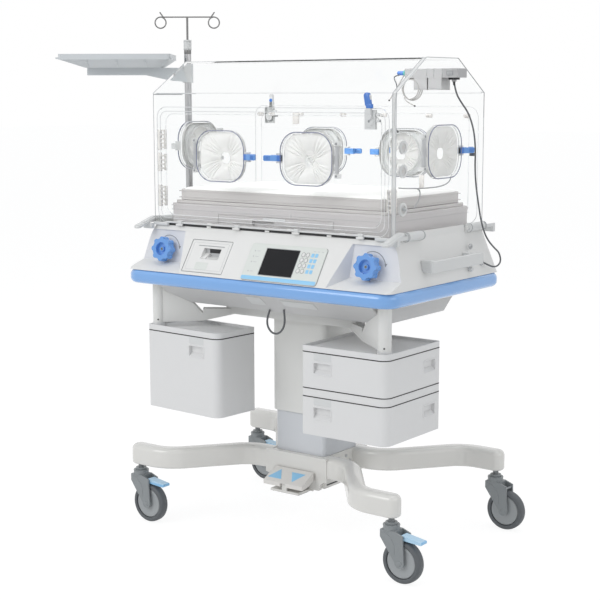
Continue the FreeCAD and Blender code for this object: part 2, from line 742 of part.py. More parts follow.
def bin_block(x0, x1, y0, y1, z0, z1, inset):
    """Box with small upright corners and one large one at the right end of its front."""
    box = block(x0 + inset, x1 - inset, y0 + inset, y1 - inset, z0, z1)

    def large(edge):
        c = edge.CenterOfMass
        return c.x > x1 - inset - 1 and c.y < y0 + inset + 1

    def upright(edge):
        return along_axis(edge, V(0, 0, 1)) and edge.CenterOfMass.distanceToPoint(corner_at) > BIN_CORNER_R * 2
    corner_at = V(x1 - inset, y0 + inset, (z0 + z1) / 2)
    box = round_edges(box, BIN_CORNER_R - inset, lambda e: along_axis(e, V(0, 0, 1)) and large(e))
    return round_edges(box, BIN_EDGE_R - inset, upright)


def bin_shell(x0, x1, y0, y1, z0, z1, pivot_x, boss_r, pulls):
    """Open box with round corners and a bored corner post for the pivot pin."""
    shell = bin_block(x0, x1, y0, y1, z0, z1, 0)
    inside = bin_block(x0, x1, y0, y1, z0 + BIN_WALL, z1 + 1, BIN_WALL)
    shape = shell.cut(inside)
    boss = rod((pivot_x, PIVOT_Y, z0), (pivot_x, PIVOT_Y, z1), boss_r).common(shell)
    shape = fuse(shape, boss, *[cup for cup, pocket in pulls])
    for cup, pocket in pulls:
        shape = shape.cut(pocket)
    return shape.cut(rod((pivot_x, PIVOT_Y, z0 - 1), (pivot_x, PIVOT_Y, z1 + 1), PIN_R + SHAFT_GAP))


def lid(x0, x1, y0, y1, z0, z1, pivot_x, dished):
    """Bin lid fixed on the pivot pin. The top ones are dished as shelves and meet the post in a boss."""
    plate = bin_block(x0, x1, y0, y1, z0, z1, 0)
    if dished:
        dish = bin_block(x0, x1, y0, y1, z1 - LID_DISH, z1 + 1, LID_RIM)
        plate = plate.cut(dish)
        boss = rod((pivot_x, PIVOT_Y, z0), (pivot_x, PIVOT_Y, POST_Z0), LID_BOSS_R)
        room = block(x0, x1, y0, y1, z0, POST_Z0)
        plate = fuse(plate, boss.common(room))
    return plate.cut(rod((pivot_x, PIVOT_Y, z0 - 1), (pivot_x, PIVOT_Y, POST_Z0 + 1), PIN_R + SHAFT_GAP))


def bins():
    """Left bin, two right bins and the three fixed lids."""
    rx0 = PIVOT_X - RIGHT_OUT
    rx1 = PIVOT_X + RIGHT_IN
    ry0 = PIVOT_Y - RIGHT_FRONT
    ry1 = PIVOT_Y + RIGHT_BACK
    pull_x = rx0 + PULL_W + BIN_WALL * 4
    side_y = ry1 - PULL_W
    boss = RIGHT_IN - BIN_WALL / 2
    upper_pulls = [pull(pull_x, ry0, BIN_TOP - PULL_DROP, "x"), pull(rx1, side_y, BIN_TOP - PULL_DROP, "y")]
    lower_pulls = [pull(pull_x, ry0, RIGHT_SPLIT_LOW - PULL_DROP, "x"),
                   pull(rx1, side_y, RIGHT_SPLIT_LOW - PULL_DROP, "y")]
    upper = bin_shell(rx0, rx1, ry0, ry1, RIGHT_SPLIT_TOP, BIN_TOP, PIVOT_X, boss, upper_pulls)
    lower = bin_shell(rx0, rx1, ry0, ry1, BIN_BOTTOM, RIGHT_SPLIT_LOW, PIVOT_X, boss, lower_pulls)
    top_lid = lid(rx0, rx1, ry0, ry1, BIN_TOP + LID_GAP, BIN_TOP + LID_GAP + LID_T, PIVOT_X, True)
    mid_lid = lid(rx0, rx1, ry0, ry1, RIGHT_SPLIT_LOW + LID_GAP, RIGHT_SPLIT_TOP - LID_GAP, PIVOT_X, False)

    lx0 = -PIVOT_X - LEFT_IN
    lx1 = -PIVOT_X + LEFT_OUT
    ly0 = PIVOT_Y - LEFT_FRONT
    ly1 = PIVOT_Y + LEFT_BACK
    left_pull = pull((lx0 + lx1) / 2 + PULL_W, ly0, BIN_TOP - PULL_DROP, "x")
    left = bin_shell(lx0, lx1, ly0, ly1, BIN_BOTTOM, BIN_TOP, -PIVOT_X, LEFT_IN - BIN_WALL / 2, [left_pull])
    left_lid = lid(lx0, lx1, ly0, ly1, BIN_TOP + LID_GAP, BIN_TOP + LID_GAP + LID_T, -PIVOT_X, True)
    centre = (-PIVOT_X, PIVOT_Y, 0)
    return turned(left, centre, LEFT_TURN), upper, lower, [turned(left_lid, centre, LEFT_TURN), top_lid, mid_lid]


def bumper():
    """Bumper rim round the deck, with a round outer nose."""
    outer = soft_block(-RIM_HX, RIM_HX, RIM_Y0, RIM_Y1, RIM_Z0, RIM_Z1, RIM_R)
    outer = round_edges(outer, RIM_ROUND, lambda e: abs(e.CenterOfMass.z - RIM_Z0) < 0.01
                        or abs(e.CenterOfMass.z - RIM_Z1) < 0.01)
    inner = soft_block(-RIM_HX + RIM_T, RIM_HX - RIM_T, RIM_Y0 + RIM_T, RIM_Y1 - RIM_T, RIM_Z0 - 1, RIM_Z1 + 1,
                       RIM_R - RIM_T)
    return outer.cut(inner)


def deck_body():
    """Tapered body of the deck above the bumper, before its recesses are cut."""
    side = prism_yz([(DECK_LOW_Y0, RIM_Z1), (DECK_TOP_Y0, DECK_TOP), (DECK_TOP_Y1, DECK_TOP),
                     (DECK_LOW_Y1, RIM_Z1)], -DECK_LOW_HX, DECK_LOW_HX)
    front = prism_xz([(-DECK_LOW_HX, RIM_Z1), (-DECK_TOP_HX, DECK_TOP), (DECK_TOP_HX, DECK_TOP),
                      (DECK_LOW_HX, RIM_Z1)], DECK_LOW_Y0, DECK_LOW_Y1)
    body = side.common(front)

    def corner(edge):
        c = edge.CenterOfMass
        tall = edge.BoundBox.ZLength > FASCIA_RISE - 1
        return tall and abs(c.x) > (DECK_TOP_HX + DECK_LOW_HX) / 2 - DECK_LEAN / 4
    return round_edges(body, DECK_EDGE_R, corner)


def knob_frame(side):
    """Place and outward direction of a tilt knob on the back wall of its recess."""
    share = (RECESS_TOP - KNOB_Z) / (RECESS_TOP - RECESS_SILL)
    y = RECESS_TOP_Y + (RECESS_SILL_Y - RECESS_TOP_Y) * share
    out = V(0, -(RECESS_TOP - RECESS_SILL), RECESS_TOP_Y - RECESS_SILL_Y)
    return V(side * KNOB_X, y, KNOB_Z), out.normalize()


def deck_housing(body):
    """Deck with knob recesses, drawer bay, hood hinge ears, side lips and the bumper flange."""
    flange = soft_block(-RIM_HX + RIM_T, RIM_HX - RIM_T, RIM_Y0 + RIM_T, RIM_Y1 - RIM_T, RIM_Z0, RIM_Z1,
                        RIM_R - RIM_T)
    shape = fuse(body, flange)
    far = RIM_HX + RIM_T
    plan = prism_xy([(RECESS_BACK_X, DECK_TOP_Y0), (RECESS_FRONT_X, DECK_LOW_Y0 - RIM_T),
                     (far, DECK_LOW_Y0 - RIM_T), (far, DECK_TOP_Y0)], RIM_Z1, DECK_TOP)
    profile = prism_yz([(RECESS_TOP_Y, RECESS_TOP), (RECESS_SILL_Y, RECESS_SILL), (DECK_LOW_Y0, RIM_Z1 + 1),
                        (DECK_LOW_Y0 - RIM_T, RIM_Z1 + 1), (DECK_LOW_Y0 - RIM_T, RECESS_TOP)], 0, far)
    recess = plan.common(profile)
    shape = shape.cut(recess).cut(mirror_x(recess))
    bay = block(DRAWER_X0 - SLIDE_GAP, DRAWER_X1 + SLIDE_GAP, DECK_LOW_Y0 - 1, DRAWER_BACK + SLIDE_GAP,
                DRAWER_Z0 - REST_GAP, DRAWER_Z1 + SLIDE_GAP)
    shape = shape.cut(bay)
    for side in (-1, 1):
        at, out = knob_frame(side)
        hole = Part.makeCylinder(KNOB_SHAFT_R + SHAFT_GAP, KNOB_SHAFT_L + 2, at - out * (KNOB_SHAFT_L + 1), out)
        shape = shape.cut(hole)
        x0 = DECK_TOP_HX - LIP_T
        lip = block(x0, DECK_TOP_HX, LIP_Y0, LIP_Y1, DECK_TOP - 1, DECK_TOP + LIP_H)
        shape = fuse(shape, lip if side > 0 else mirror_x(lip))
        socket = rod((SOCKET_X, SOCKET_Y, SOCKET_Z), (SOCKET_X - 2 * SOCKET_L, SOCKET_Y, SOCKET_Z), SOCKET_R)
        if side > 0:
            shape = fuse(shape, socket)
        for end in (-1, 1):
            shape = shape.cut(corner_room(side, end))
            shape = fuse(shape, *catch_pins(side, end))
    for x in HINGE_X:
        shape = fuse(shape, *hinge_ears(x))
    return shape


def at_corner(shape, side, end):
    """Mirror a shape made for the right rear corner to another corner."""
    if side < 0:
        shape = mirror_x(shape)
    if end < 0:
        shape = mirror_y(shape)
    return shape


def corner_room(side, end):
    """Clearance in the deck round a corner catch."""
    lug = CATCH_LUG_T + REST_GAP
    low = CATCH_Z - CATCH_R - CATCH_ROOM
    room = block(CATCH_X - CATCH_R - CATCH_ROOM, RIM_HX, CATCH_Y0 - lug, CATCH_Y1 + lug, low, RIM_HX * 2)
    return at_corner(room, side, end)


def catch_pins(side, end):
    """Lugs at both ends of a catch barrel, with the pin between them."""
    low = CATCH_Z - CATCH_R - 3
    pieces = []
    for y in (CATCH_Y0 - REST_GAP - CATCH_LUG_T, CATCH_Y1 + REST_GAP):
        pieces.append(block(CATCH_X - CATCH_R + 1, CATCH_X - CATCH_LUG_X, y, y + CATCH_LUG_T, low, CATCH_Z))
        pieces.append(rod((CATCH_X, y, CATCH_Z), (CATCH_X, y + CATCH_LUG_T, CATCH_Z), CATCH_LUG_R))
    pieces.append(rod((CATCH_X, CATCH_Y0 - 1, CATCH_Z), (CATCH_X, CATCH_Y1 + 1, CATCH_Z), CATCH_PIN_R))
    return [at_corner(p, side, end) for p in pieces]


def corner_catch(side, end):
    """Hood catch: a barrel along the deck's end and a lever round the corner."""
    barrel = rod((CATCH_X, CATCH_Y0, CATCH_Z), (CATCH_X, CATCH_Y1, CATCH_Z), CATCH_R)
    arm = block(CATCH_ARM_X0, CATCH_ARM_X1, CATCH_ARM_BACK, CATCH_REACH_Y, CATCH_ARM_Z0, CATCH_ARM_Z1)
    in_x = CATCH_X + CATCH_PIN_R + CATCH_LINK_IN
    out_x = CATCH_X + CATCH_R - 1
    top = CATCH_Z + CATCH_LINK_UP
    link = block(in_x, out_x, CATCH_Y0, CATCH_REACH_Y, CATCH_Z - CATCH_LINK_LOW, top)
    heel = block(in_x, out_x, CATCH_ARM_BACK, CATCH_REACH_Y, CATCH_ARM_Z0, top)
    shape = fuse(barrel, arm, link, heel)
    shape = shape.cut(rod((CATCH_X, CATCH_Y0 - 1, CATCH_Z), (CATCH_X, CATCH_Y1 + 1, CATCH_Z),
                          CATCH_PIN_R + SHAFT_GAP))
    return at_corner(shape, side, end)


def hinge_ears(x):
    """Pair of ears and the pin that the hood tilts on, at the rear of the deck."""
    half = HINGE_W / 2
    low = DECK_TOP - HINGE_W
    ears = []
    for x0 in (x - half, x + half - HINGE_EAR_T):
        ears.append(block(x0, x0 + HINGE_EAR_T, HOOD_Y1 + SLIDE_GAP, HINGE_Y + HINGE_R, low, HINGE_Z))
        ears.append(rod((x0, HINGE_Y, HINGE_Z), (x0 + HINGE_EAR_T, HINGE_Y, HINGE_Z), HINGE_R))
    return ears + [rod((x - half, HINGE_Y, HINGE_Z), (x + half, HINGE_Y, HINGE_Z), HINGE_PIN_R)]


def hinge_knuckle(x):
    """Knuckle on the hood that runs on the hinge pin between the ears."""
    half = HINGE_W / 2 - HINGE_EAR_T - REST_GAP
    barrel = rod((x - half, HINGE_Y, HINGE_Z), (x + half, HINGE_Y, HINGE_Z), HINGE_R)
    web = block(x - half, x + half, HOOD_Y1 - HOOD_T, HINGE_Y, HINGE_Z - HINGE_R / 2, HINGE_Z + HINGE_R)
    bore = rod((x - HINGE_W, HINGE_Y, HINGE_Z), (x + HINGE_W, HINGE_Y, HINGE_Z), HINGE_PIN_R + SHAFT_GAP)
    return fuse(barrel, web).cut(bore)


def tilt_knob(side):
    """Lobed hand knob with a dished face and the shaft that enters the deck."""
    at, out = knob_frame(side)
    knob = Part.makeCylinder(KNOB_R, KNOB_T, V(0, 0, KNOB_STAND))
    for i in range(KNOB_LOBES):
        a = 2 * math.pi * i / KNOB_LOBES
        centre = V(KNOB_LOBE_AT * math.cos(a), KNOB_LOBE_AT * math.sin(a), KNOB_STAND)
        knob = knob.fuse(Part.makeCylinder(KNOB_LOBE_R, KNOB_T, centre))
    knob = knob.cut(Part.makeCylinder(KNOB_DISH_R, KNOB_DISH + 1, V(0, 0, KNOB_STAND + KNOB_T - KNOB_DISH)))
    neck = Part.makeCylinder(KNOB_NECK_R, KNOB_STAND - REST_GAP, V(0, 0, REST_GAP))
    shaft = Part.makeCylinder(KNOB_SHAFT_R, KNOB_SHAFT_L + KNOB_STAND, V(0, 0, -KNOB_SHAFT_L))
    knob = fuse(knob, neck, shaft)
    knob.Placement = FreeCAD.Placement(at, FreeCAD.Rotation(V(0, 0, 1), out))
    return knob


def on_fascia(shape):
    """Lay a shape drawn flat, with y up the slope and z outwards, on the sloping front."""
    placed = shape.copy()
    placed.Placement = FreeCAD.Placement(V(0, DECK_TOP_Y0, DECK_TOP), FreeCAD.Rotation(V(1, 0, 0), FASCIA_ANGLE))
    return placed


def control_panel():
    """Panel plate with a pocket, and the display glass in the pocket."""
    plate = soft_block(PANEL_X0, PANEL_X1, -PANEL_LOW, -PANEL_TOP, 0, PANEL_T, PANEL_R)
    pocket = block(SCREEN_X0, SCREEN_X1, -SCREEN_LOW, -SCREEN_TOP, PANEL_T - SCREEN_T, PANEL_T + 1)
    glass = block(SCREEN_X0, SCREEN_X1, -SCREEN_LOW, -SCREEN_TOP, PANEL_T - SCREEN_T, PANEL_T - SCREEN_SUNK)
    return on_fascia(plate.cut(pocket)), on_fascia(glass)


def reservoir_drawer(body):
    """Pull-out water reservoir whose face continues the sloping front, with a finger grip."""
    box = block(DRAWER_X0, DRAWER_X1, DECK_LOW_Y0 - 1, DRAWER_BACK, DRAWER_Z0, DRAWER_Z1)
    tray = box.common(body)
    inside = block(DRAWER_X0 + DRAWER_WALL, DRAWER_X1 - DRAWER_WALL, DRAWER_FACE_Y, DRAWER_BACK - DRAWER_WALL,
                   DRAWER_Z0 + DRAWER_WALL, DRAWER_Z1 + 1)
    grip = block(GRIP_X0, GRIP_X1, DECK_LOW_Y0 - 1, GRIP_DEPTH_Y, GRIP_Z0, GRIP_Z1)
    return tray.cut(inside).cut(grip)


def side_handle(body):
    """Flat-bar handle standing off one end of the deck."""
    z1 = HANDLE_Z0 + HANDLE_H
    bar = block(HANDLE_X, HANDLE_X + HANDLE_T, HANDLE_Y0, HANDLE_Y1, HANDLE_Z0, z1)
    feet = [block(DECK_TOP_HX, HANDLE_X, y, y + HANDLE_FOOT, HANDLE_Z0, z1) for y in HANDLE_FOOT_Y]
    handle = fuse(bar, *feet)
    handle = round_edges(handle, HANDLE_T * 0.45, lambda e: along_axis(e, V(0, 0, 1))
                         and e.CenterOfMass.x > HANDLE_X + HANDLE_T - 1)
    return handle.cut(body)


def hood_outline(inset):
    """Outline of the hood from the end, moved in by a wall on all sides but the open bottom."""
    lean = math.atan2(HOOD_TOP - HOOD_SHOULDER, HOOD_FLAT_Y0 - HOOD_Y0)
    shift = inset * math.tan(lean / 2)
    low_y = inset
    rise = inset * math.tan((math.pi / 2 - lean) / 2)
    return [
        (HOOD_Y0 + low_y, HOOD_Z0 - inset), (HOOD_Y0 + low_y, HOOD_SHOULDER - rise),
        (HOOD_FLAT_Y0 + shift, HOOD_TOP - inset), (HOOD_FLAT_Y1 - shift, HOOD_TOP - inset),
        (HOOD_Y1 - low_y, HOOD_SHOULDER - rise), (HOOD_Y1 - low_y, HOOD_Z0 - inset),
    ]


def port_frame(wall):
    """Places that turn a port drawn flat (u right, v up, w outwards) onto each wall."""
    door_face = HOOD_Y0 - DOOR_GAP - HOOD_T
    frames = {
        "front_left": ((1, 0, 0), (0, -1, 0), (-PORT_X, door_face, PORT_Z), -1),
        "front_right": ((1, 0, 0), (0, -1, 0), (PORT_X, door_face, PORT_Z), 1),
        "rear_left": ((-1, 0, 0), (0, 1, 0), (-PORT_X, HOOD_Y1, PORT_Z), 1),
        "rear_right": ((-1, 0, 0), (0, 1, 0), (PORT_X, HOOD_Y1, PORT_Z), -1),
        "end_right": ((0, 1, 0), (1, 0, 0), (HOOD_HX, END_PORT_Y, END_PORT_Z), -1),
        "end_left": ((0, -1, 0), (-1, 0, 0), (-HOOD_HX, END_PORT_Y, END_PORT_Z), -1),
    }
    return frames[wall]


def on_wall(shape, wall):
    """Put a flat-drawn port piece on its wall."""
    u, w, origin, hinge = port_frame(wall)
    m = FreeCAD.Matrix(u[0], 0, w[0], origin[0], u[1], 0, w[1], origin[1], u[2], 1, w[2], origin[2], 0, 0, 0, 1)
    placed = shape.copy()
    placed.Placement = FreeCAD.Placement(m).multiply(placed.Placement)
    return placed


def port_ring(wall):
    """Frame round a port hole, with the two hinge lugs and their pin."""
    hinge = port_frame(wall)[3]
    ring = soft_block(-RING_HX, RING_HX, -RING_HY, RING_HY, -REST_GAP, RING_T, RING_R)
    u = hinge * PORT_HINGE_U
    v0 = PORT_BARREL_H / 2 + PORT_LUG_GAP
    pieces = [ring]
    for side in (-1, 1):
        v = side * (v0 + PORT_LUG_H / 2)
        pieces.append(block(u - PORT_BARREL_R, u + PORT_BARREL_R, v - PORT_LUG_H / 2, v + PORT_LUG_H / 2, -REST_GAP,
                            PORT_HINGE_W + PORT_PIN_R * 2))
    pieces.append(rod((u, -v0 - 1, PORT_HINGE_W), (u, v0 + 1, PORT_HINGE_W), PORT_PIN_R))
    return [on_wall(p, wall) for p in pieces]


def port_hole(wall):
    """Round hole through a wall and its ring."""
    return on_wall(rod((0, 0, -3 * HOOD_T), (0, 0, 3 * HOOD_T), PORT_HOLE_R), wall)


def port_door(wall):
    """Clear dished port door with its hinge barrel, and the latch tab on its free side."""
    hinge = port_frame(wall)[3]
    w0 = RING_T + REST_GAP
    door = soft_block(-PORT_HX, PORT_HX, -PORT_HY, PORT_HY, w0, w0 + PORT_T, PORT_R)
    pocket = soft_block(-PORT_HX + PORT_WALL, PORT_HX - PORT_WALL, -PORT_HY + PORT_WALL, PORT_HY - PORT_WALL,
                        w0 - 1, w0 + PORT_T - PORT_WALL, PORT_R - PORT_WALL)
    door = door.cut(pocket)
    u = hinge * PORT_HINGE_U
    half = PORT_BARREL_H / 2
    barrel = rod((u, -half, PORT_HINGE_W), (u, half, PORT_HINGE_W), PORT_BARREL_R)
    lo = min(u, hinge * (PORT_HX - PORT_WALL / 2))
    hi = max(u, hinge * (PORT_HX - PORT_WALL / 2))
    web = block(lo, hi, -PORT_LUG_H, PORT_LUG_H, w0, w0 + PORT_WALL * 2)
    door = fuse(door, barrel, web).cut(rod((u, -PORT_HY, PORT_HINGE_W), (u, PORT_HY, PORT_HINGE_W),
                                           PORT_PIN_R + SHAFT_GAP))
    a = -hinge * PORT_HX
    b = -hinge * (PORT_HX + TAB_L)
    tab = block(min(a, b), max(a, b), -TAB_HY, TAB_HY, w0 - PORT_WALL, w0 + PORT_T - PORT_WALL)
    return Part.Compound([on_wall(door, wall), on_wall(tab, wall)])


def port_cuff(wall):
    """Elastic cuff stretched across a port: a thin disc with a small opening."""
    disc = Part.makeCylinder(PORT_HOLE_R - REST_GAP, CUFF_T, V(0, 0, CUFF_W))
    return on_wall(disc.cut(Part.makeCylinder(CUFF_HOLE_R, CUFF_T + 2, V(0, 0, CUFF_W - 1))), wall)


def latch_base(side, face_y, out):
    """Fixed housing that a door latch turns on."""
    y0 = min(face_y, face_y + out * LATCH_BASE_T)
    x = side * LATCH_X
    base = block(x - LATCH_BASE_HX, x + LATCH_BASE_HX, y0, y0 + LATCH_BASE_T, LATCH_BASE_Z0, LATCH_BASE_Z1)
    bore = rod((x, face_y + out, LATCH_Z), (x, face_y + out * 3 * LATCH_BASE_T, LATCH_Z), LATCH_PIN_R + SHAFT_GAP)
    return base, bore


def door_latch(side, face_y, out):
    """Turning lever of a door latch, upright when shut."""
    x = side * LATCH_X
    y0 = face_y + out * (LATCH_BASE_T + REST_GAP)
    y1 = y0 + out * LATCH_T
    disc = rod((x, y0, LATCH_Z), (x, y1, LATCH_Z), LATCH_R)
    arm = block(x - LATCH_R * 0.7, x + LATCH_R * 0.7, min(y0, y1), max(y0, y1), LATCH_Z, LATCH_Z + LATCH_L)
    arm = round_edges(arm, LATCH_R * 0.5, lambda e: along_axis(e, V(0, 1, 0)) and e.CenterOfMass.z > LATCH_Z + 1)
    pin = rod((x, face_y + out * 2, LATCH_Z), (x, y0, LATCH_Z), LATCH_PIN_R)
    return fuse(disc, arm, pin)


def canopy():
    """Clear hood: two ends, sloped roof and rear wall in one moulding, open below and in front."""
    shell = prism_yz(hood_outline(0), -HOOD_HX, HOOD_HX)
    shell = shell.cut(prism_yz(hood_outline(HOOD_T), -HOOD_HX + HOOD_T, HOOD_HX - HOOD_T))
    doorway = soft_block(-DOORWAY_HX, DOORWAY_HX, HOOD_Y0 - 1, HOOD_Y0 + HOOD_T + 1, DOORWAY_Z0, DOORWAY_Z1,
                         DOORWAY_R, V(0, 1, 0))
    shell = shell.cut(doorway)
    slot = block(HOOD_HX - 2 * HOOD_T, HOOD_HX + 1, SENSOR_Y0 - REST_GAP, SENSOR_Y1 + REST_GAP,
                 SENSOR_Z0 - REST_GAP, SENSOR_Z1 + REST_GAP)
    shell = shell.cut(slot)
    pieces = []
    for z in GROMMET_Z:
        pieces.append(rod((HOOD_HX - REST_GAP, GROMMET_Y, z), (HOOD_HX + GROMMET_T, GROMMET_Y, z), GROMMET_R))
    for x in CLIP_X:
        pieces.append(door_clip(x))
    for x in HINGE_X:
        pieces.append(hinge_knuckle(x))
    walls = ("rear_left", "rear_right", "end_left", "end_right")
    for wall in walls:
        pieces.extend(port_ring(wall))
    bores = []
    base, bore = latch_base(-1, HOOD_Y1, 1)
    pieces.append(base)
    bores.append(bore)
    shell = fuse(shell, *pieces)
    for z in GROMMET_Z:
        bores.append(rod((HOOD_HX + GROMMET_T - GROMMET_DISH, GROMMET_Y, z), (HOOD_HX + 2 * HOOD_T, GROMMET_Y, z),
                         GROMMET_DISH_R))
    bores.extend(port_hole(wall) for wall in walls)
    for bore in bores:
        shell = shell.cut(bore)
    return shell


def door_rod_y():
    """Distance of the front door's hinge rod from the middle, out to the front."""
    return HOOD_Y0 - DOOR_GAP - HOOD_T


def door_clip(x):
    """Clip on the hood's front sill that holds the front door's hinge rod."""
    y = door_rod_y()
    clip = block(x - CLIP_W / 2, x + CLIP_W / 2, y - DOOR_ROD_R * 2, HOOD_Y0 + DOOR_GAP, CLIP_Z0, CLIP_Z1)
    return clip.cut(rod((x - CLIP_W, y, DOOR_Z0), (x + CLIP_W, y, DOOR_Z0), DOOR_ROD_R + SHAFT_GAP))


def front_door():
    """Drop-down front door with two ports, a hinge rod along its foot and one latch housing."""
    y0 = HOOD_Y0 - DOOR_GAP - HOOD_T
    panel = block(-DOOR_HX, DOOR_HX, y0, y0 + HOOD_T, DOOR_Z0, DOOR_Z1)
    panel = round_edges(panel, DOOR_R, lambda e: along_axis(e, V(0, 1, 0)) and e.CenterOfMass.z > DOOR_Z1 - 1)
    for x in CLIP_X:
        panel = panel.cut(block(x - CLIP_W / 2 - SLIDE_GAP, x + CLIP_W / 2 + SLIDE_GAP, y0 - 1, y0 + HOOD_T + 1,
                                DOOR_Z0 - 1, CLIP_Z1 + HOOD_T))
    hinge_rod = rod((-DOORWAY_HX, door_rod_y(), DOOR_Z0), (DOORWAY_HX, door_rod_y(), DOOR_Z0), DOOR_ROD_R)
    pieces = [hinge_rod]
    bores = []
    for wall in ("front_left", "front_right"):
        pieces.extend(port_ring(wall))
        bores.append(port_hole(wall))
    base, bore = latch_base(1, y0, -1)
    pieces.append(base)
    bores.append(bore)
    shape = fuse(panel, *pieces)
    for bore in bores:
        shape = shape.cut(bore)
    return shape


def bed_base():
    """Heated box under the mattress, with the outline and finger notch of the image-plate tray."""
    box = soft_block(-BED_HX, BED_HX, BED_Y0, BED_Y1, DECK_TOP, BED_Z1, BED_R)
    outer = block(-TRAY_FACE_HX, TRAY_FACE_HX, BED_Y0 - 1, BED_Y0 + TRAY_GROOVE, TRAY_FACE_Z0, TRAY_FACE_Z1)
    inner = block(-TRAY_FACE_HX + TRAY_GROOVE, TRAY_FACE_HX - TRAY_GROOVE, BED_Y0 - 1, BED_Y0 + TRAY_GROOVE,
                  TRAY_FACE_Z0 + TRAY_GROOVE, TRAY_FACE_Z1 - TRAY_GROOVE)
    notch = block(-TRAY_NOTCH_HX * 2, 0, BED_Y0 - 1, BED_Y0 + TRAY_GROOVE * 4, TRAY_FACE_Z0, TRAY_FACE_Z0 + BED_R)
    return box.cut(outer.cut(inner)).cut(notch)


def bed():
    """Tilting cradle, mattress tray and mattress, stacked on the bed base."""
    z0 = BED_Z1 + REST_GAP
    cradle = soft_block(-CRADLE_HX, CRADLE_HX, CRADLE_Y0, CRADLE_Y1, z0, z0 + CRADLE_T, BED_R)
    z1 = z0 + CRADLE_T + REST_GAP
    tray = soft_block(-BOWL_HX, BOWL_HX, BOWL_Y0, BOWL_Y1, z1, z1 + BOWL_H, BOWL_R)
    tray = tray.cut(soft_block(-BOWL_HX + BOWL_WALL, BOWL_HX - BOWL_WALL, BOWL_Y0 + BOWL_WALL,
                               BOWL_Y1 - BOWL_WALL, z1 + BOWL_FLOOR, z1 + BOWL_H + 1, BOWL_R - BOWL_WALL))
    z2 = z1 + BOWL_FLOOR + REST_GAP
    pad = soft_block(-BOWL_HX + PAD_IN, BOWL_HX - PAD_IN, BOWL_Y0 + PAD_IN, BOWL_Y1 - PAD_IN, z2, z2 + PAD_T, PAD_R)
    return cradle, tray, pad


def infusion_pole():
    """Pole clamped to the left handle, bored for the hook rod, with its collar on top."""
    face = -(HANDLE_X + HANDLE_T)
    pole = rod((POLE_X, POLE_Y, POLE_Z0), (POLE_X, POLE_Y, POLE_Z1), POLE_R)
    collar = rod((POLE_X, POLE_Y, POLE_Z1), (POLE_X, POLE_Y, COLLAR_Z1), COLLAR_R)
    clamp = block(POLE_X - CLAMP_HY, face, POLE_Y - CLAMP_HY, POLE_Y + CLAMP_HY, HANDLE_Z0, HANDLE_Z0 + HANDLE_H)
    bore = rod((POLE_X, POLE_Y, COLLAR_Z1 + 1), (POLE_X, POLE_Y, COLLAR_Z1 - POLE_BORE - POLE_R),
               ROD_R + SHAFT_GAP)
    return fuse(pole, collar, clamp).cut(bore)


def infusion_hook():
    """Rod with a cross wire that ends in two ram's-horn loops."""
    shape = rod((0, 0, ROD_Z0), (0, 0, HOOK_Z), ROD_R)
    pieces = [rod((-HOOK_LOOP_AT, 0, HOOK_Z), (HOOK_LOOP_AT, 0, HOOK_Z), HOOK_WIRE_R)]
    for side in (-1, 1):
        ring = Part.makeTorus(HOOK_LOOP_R, HOOK_WIRE_R, V(side * HOOK_LOOP_AT, 0, HOOK_Z - HOOK_LOOP_R), V(0, 1, 0))
        foot = HOOK_LOOP_R * math.sin(math.pi / 4)
        inner = (side * (HOOK_LOOP_AT - foot), 0, HOOK_Z - HOOK_LOOP_R + foot)
        tip = (side * (HOOK_LOOP_AT + HOOK_WIRE_R), 0, HOOK_Z + HOOK_TIP)
        pieces.append(ring)
        pieces.append(rod(inner, tip, HOOK_WIRE_R))
    shape = fuse(shape, *pieces)
    shape = turned(shape, (0, 0, 0), VIEW_TURN)
    shape.translate(V(POLE_X, POLE_Y, 0))
    return shape


